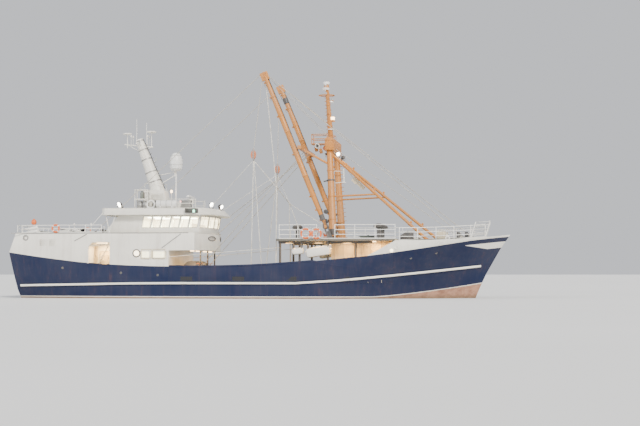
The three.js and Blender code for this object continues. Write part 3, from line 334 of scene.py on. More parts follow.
# Rust that starts in specks and runs down the plates, with dirt and faded patches.
def make_weather():
    tree, start, end = new_group("weathered_paint", [
        (VECTOR, "Place", None), (COLOUR, "Paint", (1, 1, 1, 1)), (FLOAT, "Rust", 0.4), (FLOAT, "Dirt", 0.4),
        (FLOAT, "Scale", 1.0), (FLOAT, "Fade", 0.12),
    ], [(COLOUR, "Color"), (FLOAT, "Roughness"), (FLOAT, "Height")])
    scaled = tree.nodes.new("ShaderNodeVectorMath")
    scaled.operation = "SCALE"
    link(tree, start.outputs["Place"], scaled.inputs[0])
    link(tree, start.outputs["Scale"], scaled.inputs["Scale"])
    place = scaled.outputs[0]
    runs = noise(tree, stretch(tree, place, (2.6, 2.6, 0.16)), 1.6, 6.0, 0.62)
    fine = noise(tree, stretch(tree, place, (9.0, 9.0, 0.55)), 2.2, 5.0, 0.6)
    specks = noise(tree, place, 3.4, 9.0, 0.72)
    patches = noise(tree, place, 0.5, 4.0, 0.55)
    grain = noise(tree, place, 30.0, 3.0, 0.5)
    # Streaks show where the broad runs, the fine runs and the patches agree.
    streak = times(tree, remap(tree, runs, 0.50, 0.74), remap(tree, fine, 0.42, 0.72))
    streak = times(tree, streak, remap(tree, patches, 0.34, 0.66, 0.3, 1.5))
    rust = times(tree, streak, start.outputs["Rust"], True)
    pits = times(tree, remap(tree, specks, 0.66, 0.73), start.outputs["Rust"], True)
    stain = times(tree, remap(tree, patches, 0.38, 0.75), start.outputs["Dirt"], True)
    film = times(tree, remap(tree, runs, 0.35, 0.8), start.outputs["Dirt"], True)
    fading = times(tree, remap(tree, patches, 0.25, 0.8), start.outputs["Fade"], True)
    faded = blendnode(tree, fading, start.outputs["Paint"], (0.62, 0.6, 0.56))
    dirty = blendnode(tree, times(tree, stain, 0.55), faded, (0.16, 0.13, 0.09))
    dirty = blendnode(tree, times(tree, film, 0.38), dirty, (0.22, 0.15, 0.09))
    rusty = blendnode(tree, times(tree, rust, 0.85, True), dirty, (0.27, 0.09, 0.025))
    whole = blendnode(tree, times(tree, pits, 0.9, True), rusty, (0.12, 0.045, 0.02))
    link(tree, whole, end.inputs["Color"])
    rough = plus(tree, remap(tree, patches, 0.2, 0.8, 0.34, 0.52), times(tree, rust, 0.35))
    link(tree, plus(tree, rough, remap(tree, grain, 0.3, 0.7, -0.04, 0.05), True), end.inputs["Roughness"])
    height = mathnode(tree, "SUBTRACT", times(tree, grain, 0.12), times(tree, pits, 0.5))
    link(tree, height, end.inputs["Height"])
    return tree


# Steel plating pushed in a little between its frames, with weld beads where the plates meet.
def make_plating():
    tree, start, end = new_group("plating", [
        (VECTOR, "Place", None), (FLOAT, "Frame", 0.6), (FLOAT, "Strake", 1.35), (FLOAT, "Sheet", 6.0),
    ], [(FLOAT, "Height"), (FLOAT, "Seam")])
    x, _, z = axes(tree, start.outputs["Place"])

    def near_multiple(value, pitch, width):
        turns = mathnode(tree, "DIVIDE", value, pitch)
        away = mathnode(tree, "PINGPONG", turns, 0.5)
        metres = times(tree, away, pitch)
        return remap(tree, metres, 0.0, width, 1.0, 0.0)

    wave = mathnode(tree, "DIVIDE", x, start.outputs["Frame"])
    hollow = mathnode(tree, "PINGPONG", wave, 0.5)
    soft = remap(tree, noise(tree, start.outputs["Place"], 0.45, 2.0), 0.35, 0.7)
    dent = times(tree, times(tree, hollow, soft), -1.3)
    seams = mathnode(tree, "MAXIMUM", near_multiple(z, start.outputs["Strake"], 0.016),
                     near_multiple(x, start.outputs["Sheet"], 0.016))
    link(tree, plus(tree, dent, times(tree, seams, 0.35)), end.inputs["Height"])
    link(tree, seams, end.inputs["Seam"])
    return tree


weather = make_weather()
plating = make_plating()


def new_material(name, slot):
    material = bpy.data.materials.new(name)
    material.use_nodes = True
    tree = material.node_tree
    tree.nodes.clear()
    shader = tree.nodes.new("ShaderNodeBsdfPrincipled")
    out = tree.nodes.new("ShaderNodeOutputMaterial")
    link(tree, shader.outputs[0], out.inputs[0])
    place = tree.nodes.new("ShaderNodeTexCoord").outputs["Object"]
    material["slot"] = slot
    return material, tree, shader, place


def use_group(tree, group, **values):
    node = tree.nodes.new("ShaderNodeGroup")
    node.node_tree = group
    for key, value in values.items():
        if hasattr(value, "links"):
            link(tree, value, node.inputs[key])
        elif isinstance(value, tuple):
            node.inputs[key].default_value = (*value[:3], 1)
        else:
            node.inputs[key].default_value = value
    return node


# The coat's colour and roughness go to the shader.
def lay_coat(tree, coat, shader):
    link(tree, coat.outputs["Color"], shader.inputs["Base Color"])
    link(tree, coat.outputs["Roughness"], shader.inputs["Roughness"])


def bump(tree, height, shader, strength, distance):
    node = tree.nodes.new("ShaderNodeBump")
    node.inputs["Strength"].default_value = strength
    node.inputs["Distance"].default_value = distance
    link(tree, height, node.inputs["Height"])
    link(tree, node.outputs[0], shader.inputs["Normal"])


# Where faces look up, a deck paint of its own takes over from the side paint.
def deck_mask(tree):
    _, across, upward = axes(tree, tree.nodes.new("ShaderNodeNewGeometry").outputs["Normal"])
    return remap(tree, upward, 0.90, 0.96), across


def painted(name, slot, colour, rust=0.35, dirt=0.35, deck=None, inside=None, plates=0.0, metal=0.0,
            scale=1.0, fade=0.12, gloss=0.5):
    material, tree, shader, place = new_material(name, slot)
    paint = colour
    if deck or inside:
        up, across = deck_mask(tree)
    if inside:
        inward = mathnode(tree, "LESS_THAN", times(tree, across, axes(tree, place)[1]), 0.0)
        paint = blendnode(tree, inward, paint, inside)
    if deck:
        paint = blendnode(tree, up, paint, deck)
    coat = use_group(tree, weather, Place=place, Paint=paint, Rust=rust, Dirt=dirt, Scale=scale, Fade=fade)
    lay_coat(tree, coat, shader)
    shader.inputs["Metallic"].default_value = metal
    shader.inputs["Specular IOR Level"].default_value = gloss
    height = coat.outputs["Height"]
    if plates:
        sheets = use_group(tree, plating, Place=place)
        height = plus(tree, times(tree, sheets.outputs["Height"], plates), height)
    bump(tree, height, shader, 0.55, 0.02)
    return material


# The hanging blocks are painted; the wire over them is bare, from a height that differs a side.
def make_block_paint():
    material, tree, shader, place = new_material("block_paint", "orange_paint")
    _, y, z = axes(tree, place)
    height = plus(tree, z, times(tree, y, 0.0694))
    bare = mathnode(tree, "GREATER_THAN", height, 10.0)
    paint = blendnode(tree, bare, (0.62, 0.17, 0.05), (0.5, 0.46, 0.38))
    coat = use_group(tree, weather, Place=place, Paint=paint, Rust=0.6, Dirt=0.4, Scale=2.0, Fade=0.1)
    lay_coat(tree, coat, shader)
    bump(tree, coat.outputs["Height"], shader, 0.5, 0.02)
    return material


# Height of the top edge of the bottom paint: it lies just over the water and rises to the bow.
def bottom_edge(tree, x):
    fore = mathnode(tree, "MAXIMUM", mathnode(tree, "SUBTRACT", x, 8.2), 0.0)
    rise = times(tree, mathnode(tree, "POWER", fore, 1.35), 0.062)
    return plus(tree, rise, 0.10)


def make_hull_paint():
    material, tree, shader, place = new_material("hull_paint", "navy_paint")
    x, _, z = axes(tree, place)
    up = deck_mask(tree)[0]
    wobble = times(tree, mathnode(tree, "SUBTRACT", noise(tree, place, 6.0), 0.5), 0.03)
    height = plus(tree, z, wobble)
    edge = bottom_edge(tree, x)
    below = mathnode(tree, "LESS_THAN", height, edge)
    line = mathnode(tree, "LESS_THAN", height, plus(tree, edge, 0.055))
    # White flash at the stem: between a rising line and a bent lower line, ahead of its point.
    ahead = mathnode(tree, "SUBTRACT", x, 14.55)
    over = plus(tree, times(tree, ahead, 0.115), 3.62)
    falling = mathnode(tree, "SUBTRACT", 3.60, times(tree, ahead, 0.145))
    rising = plus(tree, 3.385, times(tree, mathnode(tree, "SUBTRACT", x, 15.99), 0.12))
    under = mathnode(tree, "MAXIMUM", falling, rising)
    flash = times(tree, mathnode(tree, "LESS_THAN", z, over), mathnode(tree, "GREATER_THAN", z, under))
    flash = times(tree, flash, mathnode(tree, "GREATER_THAN", ahead, 0.0))
    blotch = remap(tree, noise(tree, stretch(tree, place, (1, 1, 1.8)), 1.5, 8.0, 0.7), 0.42, 0.62)
    bottom = blendnode(tree, blotch, (0.43, 0.24, 0.16), (0.26, 0.13, 0.085))
    pale = remap(tree, noise(tree, place, 2.6, 9.0, 0.75), 0.60, 0.68)
    bottom = blendnode(tree, times(tree, pale, 0.6), bottom, (0.58, 0.5, 0.4))
    weed = times(tree, remap(tree, z, -0.1, 0.35, 0.75, 0.0), remap(tree, z, -1.3, -0.3, 0.2, 1.0))
    bottom = blendnode(tree, weed, bottom, (0.09, 0.085, 0.04))
    paint = blendnode(tree, flash, NAVY, (0.82, 0.79, 0.71))
    paint = blendnode(tree, line, paint, (0.72, 0.68, 0.6))
    paint = blendnode(tree, below, paint, bottom)
    paint = blendnode(tree, up, paint, DECK_GREEN)
    coat = use_group(tree, weather, Place=place, Paint=paint, Rust=0.22, Dirt=0.08, Fade=0.02)
    lay_coat(tree, coat, shader)
    shader.inputs["Specular IOR Level"].default_value = 0.18
    sheets = use_group(tree, plating, Place=place)
    relief = plus(tree, sheets.outputs["Height"], coat.outputs["Height"])
    bump(tree, relief, shader, 0.6, 0.02)
    return material


def plain(name, slot, colour, rough, metal=0.0, grain=0.15, grain_scale=40.0, coat=0.0):
    material, tree, shader, place = new_material(name, slot)
    spots = noise(tree, place, grain_scale, 5.0, 0.6)
    broad = noise(tree, place, 1.7, 4.0, 0.6)
    dark = tuple(part * 0.7 for part in colour)
    shade = blendnode(tree, remap(tree, broad, 0.3, 0.75, 0.0, grain * 2), colour, dark)
    speckled = blendnode(tree, remap(tree, spots, 0.4, 0.7, 0.0, grain), shade, dark)
    link(tree, speckled, shader.inputs["Base Color"])
    link(tree, remap(tree, spots, 0.2, 0.8, rough - 0.06, rough + 0.08), shader.inputs["Roughness"])
    shader.inputs["Metallic"].default_value = metal
    shader.inputs["Coat Weight"].default_value = coat
    bump(tree, spots, shader, 0.12, 0.003)
    return material


def make_glass(name, glow=0.0):
    material, tree, shader, place = new_material(name, "window_glass")
    shader.inputs["Base Color"].default_value = (0.82, 0.9, 0.88, 1)
    shader.inputs["Transmission Weight"].default_value = 1.0
    shader.inputs["IOR"].default_value = 1.1
    salt = noise(tree, place, 9.0, 5.0, 0.7)
    link(tree, remap(tree, salt, 0.45, 0.85, 0.01, 0.14), shader.inputs["Roughness"])
    # With glow above zero the glass itself glows warm: painted light for a lit room behind it.
    shader.inputs["Emission Color"].default_value = (1.0, 0.8, 0.5, 1)
    shader.inputs["Emission Strength"].default_value = glow
    return material


def make_lamp(name, colour, strength):
    material, tree, shader, place = new_material(name, "lamp_lens")
    shader.inputs["Base Color"].default_value = (0.9, 0.88, 0.82, 1)
    facets = noise(tree, place, 60.0, 2.0, 0.5)
    shine = blendnode(tree, remap(tree, facets, 0.3, 0.7, 0.0, 0.25), colour, (1, 1, 1))
    link(tree, shine, shader.inputs["Emission Color"])
    shader.inputs["Emission Strength"].default_value = strength
    shader.inputs["Roughness"].default_value = 0.12
    return material


def make_rope(name, slot, colour, pitch, metal=0.0):
    material, tree, shader, place = new_material(name, slot)
    wave = tree.nodes.new("ShaderNodeTexWave")
    wave.inputs["Scale"].default_value = pitch
    wave.inputs["Distortion"].default_value = 1.2
    wave.bands_direction = "DIAGONAL"
    link(tree, place, wave.inputs["Vector"])
    strands = wave.outputs["Fac"]
    dark = tuple(part * 0.72 for part in colour)
    worn = remap(tree, noise(tree, place, 2.2, 5.0, 0.6), 0.45, 0.7, 0.0, 0.5)
    shade = blendnode(tree, strands, dark, colour)
    link(tree, blendnode(tree, worn, shade, (0.25, 0.17, 0.1)), shader.inputs["Base Color"])
    shader.inputs["Metallic"].default_value = metal
    shader.inputs["Roughness"].default_value = 0.6
    bump(tree, strands, shader, 0.25, 0.004)
    return material


NAVY = (0.009, 0.016, 0.05)
WHITE = (0.87, 0.84, 0.75)
CREAM = (0.70, 0.60, 0.42)
BUFF = (0.58, 0.21, 0.015)
DECK_GREEN = (0.13, 0.17, 0.15)
hull_paint = make_hull_paint()
navy = painted("bulwark_paint", "navy_paint", NAVY, 0.24, 0.1, deck=(0.02, 0.03, 0.09), inside=CREAM,
               plates=1.0, fade=0.02, gloss=0.18)
white = painted("white_paint", "white_paint", WHITE, 0.34, 0.2, deck=DECK_GREEN, plates=1.0, fade=0.06)
house_white = painted("house_paint", "white_paint", WHITE, 0.4, 0.22, deck=DECK_GREEN, plates=0.7, fade=0.06)
roof_white = painted("roof_paint", "white_paint", WHITE, 0.22, 0.22, deck=(0.7, 0.68, 0.61), plates=0.2,
                     fade=0.06)
rail_white = painted("rail_paint", "white_paint", (0.86, 0.84, 0.78), 0.45, 0.15, scale=2.5, fade=0.06)
cream = painted("cream_paint", "cream_paint", CREAM, 0.45, 0.25, deck=DECK_GREEN, plates=0.5, fade=0.06)
buff = painted("buff_paint", "buff_paint", BUFF, 0.62, 0.35, scale=1.3)
orange = painted("orange_paint", "orange_paint", (0.62, 0.17, 0.05), 0.7, 0.4, scale=2.0)
block_paint = make_block_paint()
green = painted("deck_paint", "deck_paint", DECK_GREEN, 0.6, 0.5)
dark = painted("machine_paint", "dark_paint", (0.035, 0.04, 0.045), 0.55, 0.5, scale=2.0)
red = painted("bottom_paint", "bottom_paint", (0.34, 0.185, 0.125), 0.3, 0.5, plates=0.5)
bronze = plain("propeller_bronze", "bronze", (0.55, 0.36, 0.15), 0.28, 1.0)
steel = painted("worn_steel", "worn_steel", (0.36, 0.36, 0.35), 0.8, 0.4, metal=0.6, scale=2.2)
plastic = plain("white_plastic", "white_plastic", (0.82, 0.81, 0.78), 0.3, coat=0.2)
rubber = plain("black_rubber", "rubber", (0.02, 0.02, 0.02), 0.7)
buoy_orange = plain("buoy_cover", "buoy_orange", (0.8, 0.16, 0.03), 0.45)
buoy_white = plain("buoy_band", "white_plastic", (0.85, 0.84, 0.8), 0.4)
wire_rope = make_rope("wire_rope", "wire_rope", (0.62, 0.58, 0.5), 14.0, 0.3)
fibre_rope = make_rope("fibre_rope", "fibre_rope", (0.86, 0.83, 0.74), 10.0)
glass = make_glass("window_glass")
# The wheelhouse panes glow of themselves: painted light standing in for the lit room behind them.
painted_glow_glass = make_glass("wheelhouse_painted_glow_glass", 1.7)
lamp_white = make_lamp("lamp_white", (1.0, 0.95, 0.84), 16.0)
lamp_warm = make_lamp("lamp_warm", (1.0, 0.62, 0.24), 8.0)
# Lamp lenses, and glowing sheets in the deckhouse's windows that are painted light for lit rooms.
lamp_and_window_glow = make_lamp("lamp_and_window_glow", (1.0, 0.76, 0.42), 4.5)
lamp_unlit = plain("lamp_unlit", "lamp_lens", (0.42, 0.44, 0.43), 0.08, coat=0.6)
screen = plain("screen_face", "window_glass", (0.02, 0.05, 0.07), 0.12, coat=0.5)
lamp_green = make_lamp("lamp_green", (0.1, 1.0, 0.55), 5.0)
lamp_red = make_lamp("lamp_red", (1.0, 0.12, 0.06), 5.0)

# The finish of each construction piece, and how much its edges are softened. A star stands for the
# starboard piece and then its match to port.
FINISHES = (
    ("hull", hull_paint, 0.0), ("bulwark_*", navy, 0.012), ("forecastle", white, 0.02),
    ("belting_*", white, 0.02), ("keel_fin", red, 0.02), ("propeller", bronze, 0.01),
    ("rudder", red, 0.02), ("deckhouse", house_white, 0.02), ("passage_door_*", cream, 0.008),
    ("wheelhouse_side_*", house_white, 0.012), ("wheelhouse_front", house_white, 0.01),
    ("wheelhouse_aft", house_white, 0.01), ("wheelhouse_door", house_white, 0.008),
    ("wheelhouse_roof", roof_white, 0.03), ("helm_console", dark, 0.02),
    ("mast_aft", roof_white, 0.012), ("radar_scanner", plastic, 0.03), ("radome", plastic, 0.012),
    ("liferaft", plastic, 0.02), ("winch_frame", dark, 0.012), ("winch_drum_*", steel, 0.01),
    ("hatch_coaming", white, 0.012), ("hatch_lid", green, 0.01), ("shelter_deck", cream, 0.015),
    ("pillars_*", dark, 0.01), ("store_house", cream, 0.015), ("store_door", cream, 0.008),
    ("gantry_leg_*", buff, 0.012), ("gantry_head", buff, 0.02), ("boom_rest", buff, 0.015),
    ("lookout", buff, 0.006), ("pole_mast", buff, 0.008), ("gantry_strut_*", buff, 0.012),
    ("boom_*", buff, 0.012), ("boom_step_*", dark, 0.012), ("block_*", block_paint, 0.02),
    ("rail_quarter_*", rail_white, 0.012), ("rail_stern", rail_white, 0.012),
    ("rail_waist_*", rail_white, 0.012), ("rail_bow_*", rail_white, 0.012), ("windlass", steel, 0.012),
    ("foredeck_locker", dark, 0.015), ("bitts_*", dark, 0.015), ("fore_stay_*", wire_rope, 0.0),
)


def dress_construction():
    for node, material, bevel in FINISHES:
        for name in ([node.replace("*", word) for word, _ in SIDES] if "*" in node else [node]):
            dress(name, material, bevel)


# A flat band round a spar, and a grooved sheave on its pin.
def band(inner, outer, half, place, axis=(0, 0, 1), sides=28):
    turned([(inner, -half), (outer, -half), (outer, half), (inner, half)], place, axis, sides)


def sheave(edge, rim, groove, half, lip, place, axis=(0, 1, 0), sides=24):
    turned([(edge, -half), (rim, -lip), (groove, 0), (rim, lip), (edge, half)], place, axis, sides)


# A bar or plate turned so that its length lies along one direction and its height near another.
def plank(centre, size, along=(1, 0, 0), up=(0, 0, 1), edge=0.004):
    along = Vector(along).normalized()
    side = Vector(up).cross(along).normalized()
    turn = Matrix((along, side, along.cross(side))).transposed().to_euler()
    bpy.ops.mesh.select_all(action="DESELECT")
    bpy.ops.mesh.primitive_cube_add(size=1, location=centre, rotation=turn, scale=size)
    if edge:
        bpy.ops.mesh.bevel(offset=edge, segments=2, affect="EDGES")


def loop_of_rods(corners, radius, sides=8):
    for a, b in zip(corners, corners[1:] + corners[:1]):
        rod(a, b, radius, sides=sides)
        ball(a, radius, around=8)


# An upright frame that faces abeam.
def side_frame(x0, x1, z0, z1, y, radius):
    loop_of_rods([Vector((x, y, z)) for x, z in ((x0, z0), (x1, z0), (x1, z1), (x0, z1))], radius)


# The faces of the plated pieces that fittings are seated on.
def faces_of(node):
    mesh = nodes[node].data
    corners = [spot.co for spot in mesh.vertices]
    return BVHTree.FromPolygons(corners, [tuple(face.vertices) for face in mesh.polygons])


SHELLS = {node: faces_of(node)
          for node in ("hull", "deckhouse", "forecastle", "bulwark_starboard", "bulwark_port")}


# Where a level line from outboard first meets a construction piece.
def skin(node, x, z, side):
    place = SHELLS[node].ray_cast(Vector((x, side * 12, z)), Vector((0, -side, 0)))[0]
    return place or Vector((x, side * 3.9, z))


# Height of a construction piece's top at a place.
def deck_under(node, x, y):
    return SHELLS[node].ray_cast(Vector((x, y, 9)), Vector((0, 0, -1)))[0].z


# A weathertight lamp: its body, its cage and its bright lens, facing one way.
def floodlight(name, place, facing, radius=0.16, lens=None):
    facing = Vector(facing).normalized()
    place = Vector(place)
    begin(name)
    turned([(radius * 0.35, -radius * 0.9), (radius * 0.55, -radius * 0.8), (radius, -radius * 0.1),
            (radius * 1.08, 0.0), (radius * 1.08, radius * 0.12)], place, facing)
    side = facing.cross((0, 0, 1)).normalized()
    loop = [place + side * radius * 1.2, place + side * radius * 1.2 - Vector((0, 0, radius * 1.5)),
            place - side * radius * 1.2 - Vector((0, 0, radius * 1.5)), place - side * radius * 1.2]
    for a, b in zip(loop, loop[1:]):
        rod(a, b, radius * 0.09, sides=8)
    finish(dark)
    begin(name + "_lens")
    turned([(radius * 0.96, 0.0), (radius * 0.94, radius * 0.14), (radius * 0.7, radius * 0.2),
            (radius * 0.3, radius * 0.24)], place, facing)
    finish(lens or lamp_white)


def lifebuoy(name, centre, facing, radius=0.33, cover=None, body="root"):
    centre, facing = Vector(centre), Vector(facing).normalized()
    begin(name)
    ring(centre, radius, 0.062, facing, 32, 12)
    finish(cover or buoy_orange, body)
    begin(name + "_bands")
    turn = Vector((0, 0, 1)).rotation_difference(facing)
    for quarter in range(4):
        angle = math.radians(45 + 90 * quarter)
        spot = centre + turn @ Vector((radius * math.cos(angle), radius * math.sin(angle), 0))
        along = turn @ Vector((-math.sin(angle), math.cos(angle), 0))
        rod(spot - along * 0.035, spot + along * 0.035, 0.067, sides=16)
    finish(buoy_white, body)
    begin(name + "_line")
    for quarter in range(4):
        ends = []
        for step in range(5):
            angle = math.radians(45 + 90 * quarter + 90 * step / 4)
            out = radius + 0.075 + 0.05 * math.sin(math.pi * step / 4)
            ends.append(centre + turn @ Vector((out * math.cos(angle), out * math.sin(angle), 0)))
        for a, b in zip(ends, ends[1:]):
            rod(a, b, 0.008, sides=6)
    finish(fibre_rope, body)


# Wheelhouse windows: their corners at a depth in the wall, from its inside face outwards.
def side_window(side, k, depth):
    x = WINDOW_FIRST + k * WINDOW_PITCH
    y = side * (BRIDGE_HALF - WALL + depth)
    low = [Vector((x, y, SILL)), Vector((x + WINDOW_WIDE, y, SILL))]
    lean = Vector((WINDOW_LEAN, 0, HEAD - SILL))
    return [low[0], low[1], low[1] + lean, low[0] + lean]


def front_place(depth, y, z):
    bow = FRONT_CAMBER * (1 - (y / BRIDGE_HALF) ** 2)
    rake = max(z - SILL, 0) * FRONT_RAKE
    return Vector((FRONT_X - WALL + depth + bow + rake, y, z))


def front_window(k, depth):
    edge = BRIDGE_HALF - WALL
    pitch = 2 * edge / FRONT_WINDOWS
    y0, y1 = -edge + k * pitch + FRONT_POST / 2, -edge + (k + 1) * pitch - FRONT_POST / 2
    return [front_place(depth, y0, SILL), front_place(depth, y1, SILL), front_place(depth, y1, HEAD),
            front_place(depth, y0, HEAD)]


def aft_window(side, depth):
    x = AFT_X + WALL - depth
    return [Vector((x, side * 1.1, 4.9)), Vector((x, side * 2.7, 4.9)), Vector((x, side * 2.7, 5.5)),
            Vector((x, side * 1.1, 5.5))]


def all_windows(depth):
    rows = [side_window(side, k, depth) for side in (-1, 1) for k in range(SIDE_WINDOWS)]
    rows += [front_window(k, depth) for k in range(FRONT_WINDOWS)]
    return rows + [aft_window(-1, depth), aft_window(1, depth)]


def pane_between(corners, thick, spare):
    a, b, c, d = corners
    centre = (a + b + c + d) / 4
    along, up = b - a, d - a
    lean = abs(up.dot(along.normalized()))
    plank(centre, (along.length + lean + spare, thick, up.length + spare), along, up, 0)


def glaze_wheelhouse():
    begin("wheelhouse_panes")
    for corners in all_windows(WALL * 0.5):
        pane_between(corners, 0.008, 0.03)
    # The panes glow: painted light for the lit wheelhouse inside.
    finish(painted_glow_glass)
    begin("wheelhouse_gaskets")
    for corners in all_windows(WALL + 0.002):
        loop_of_rods(corners, 0.012, 8)
    finish(steel)
    begin("wheelhouse_window_brows")
    for corners in all_windows(WALL + 0.02):
        a, b = corners[3], corners[2]
        reach = Vector((0, 0, 0.06))
        plank((a + b) / 2 + reach, ((b - a).length + 0.10, 0.05, 0.012), b - a, (0, 0, 1), 0.003)
    finish(house_white)
    begin("wheelhouse_wipers")
    for k in range(FRONT_WINDOWS):
        a, b, c, d = front_window(k, WALL + 0.035)
        foot = (c + d) / 2 + Vector((0, 0, 0.05))
        tip = a + (b - a) * 0.32 + Vector((0, 0, 0.2))
        rod(foot, tip, 0.008, sides=8)
        ball(foot, 0.028, around=10)
        rod(tip - Vector((0, 0, 0.16)), tip + Vector((0, 0, 0.3)), 0.011, sides=6)
    finish(dark)


def helm_chair(x, y):
    begin("helm_chair_" + ("starboard" if y < 0 else "port"))
    floor = 3.72
    turned([(0.26, 0), (0.26, 0.02), (0.06, 0.06), (0.045, 0.5), (0.12, 0.52)], (x, y, floor))
    slab((x - 0.26, y - 0.27, floor + 0.52), (x + 0.26, y + 0.27, floor + 0.66), 0.045)
    plank((x - 0.3, y, floor + 0.98), (0.12, 0.5, 0.62), (1, 0, 0.18), (-0.18, 0, 1), 0.045)
    for arm in (-0.3, 0.3):
        slab((x - 0.24, y + arm - 0.035, floor + 0.78), (x + 0.18, y + arm + 0.035, floor + 0.83), 0.015)
        rod((x - 0.2, y + arm, floor + 0.6), (x - 0.2, y + arm, floor + 0.79), 0.02)
    finish(dark)


# Chairs, screens, wheel, chart table, lamps and floor mat.
def furnish_wheelhouse():
    for y in (-1.1, 1.1):
        helm_chair(-5.55, y)
    begin("console_screens")
    for k in range(6):
        y = -1.9 + k * 0.76
        plank((-4.42, y, 5.02), (0.03, 0.5, 0.34), (1, 0, 0.3), (-0.3, 0, 1), 0.01)
    finish(screen)
    begin("console_cases")
    for k in range(6):
        y = -1.9 + k * 0.76
        plank((-4.37, y, 5.01), (0.07, 0.56, 0.4), (1, 0, 0.3), (-0.3, 0, 1), 0.015)
        rod((-4.3, y, 4.8), (-4.34, y, 4.9), 0.03)
    turned([(0.2, 0), (0.2, 0.015)], (-4.86, 0, 4.62), (-1, 0, 0.35), 24)
    ring((-4.9, 0, 4.63), 0.21, 0.016, (-1, 0, 0.35), 28, 8)
    finish(dark)
    begin("chart_table")
    slab((-8.55, 1.0, 3.72), (-7.85, 3.05, 4.66), 0.02)
    slab((-8.6, 0.95, 4.66), (-7.8, 3.1, 4.70), 0.012)
    finish(cream)
    begin("wheelhouse_ceiling_lamps")
    for x in (-7.5, -5.6):
        for y in (-2.2, 0.0, 2.2):
            slab((x - 0.6, y - 0.14, 5.66), (x + 0.6, y + 0.14, 5.715), 0.012)
    finish(lamp_white)
    begin("wheelhouse_floor_mat")
    slab((-8.5, -3.0, 3.721), (-4.9, 3.0, 3.738), 0.004)
    finish(rubber)


# The straps of the liferaft canister.
def fit_liferaft():
    begin("liferaft_straps")
    for x in (-6.62, -5.83):
        ring((x, -2.15, 6.56), 0.277, 0.012, (1, 0, 0), 32, 8)
    ring((-6.225, -2.15, 6.56), 0.272, 0.016, (1, 0, 0), 32, 8)
    finish(steel)


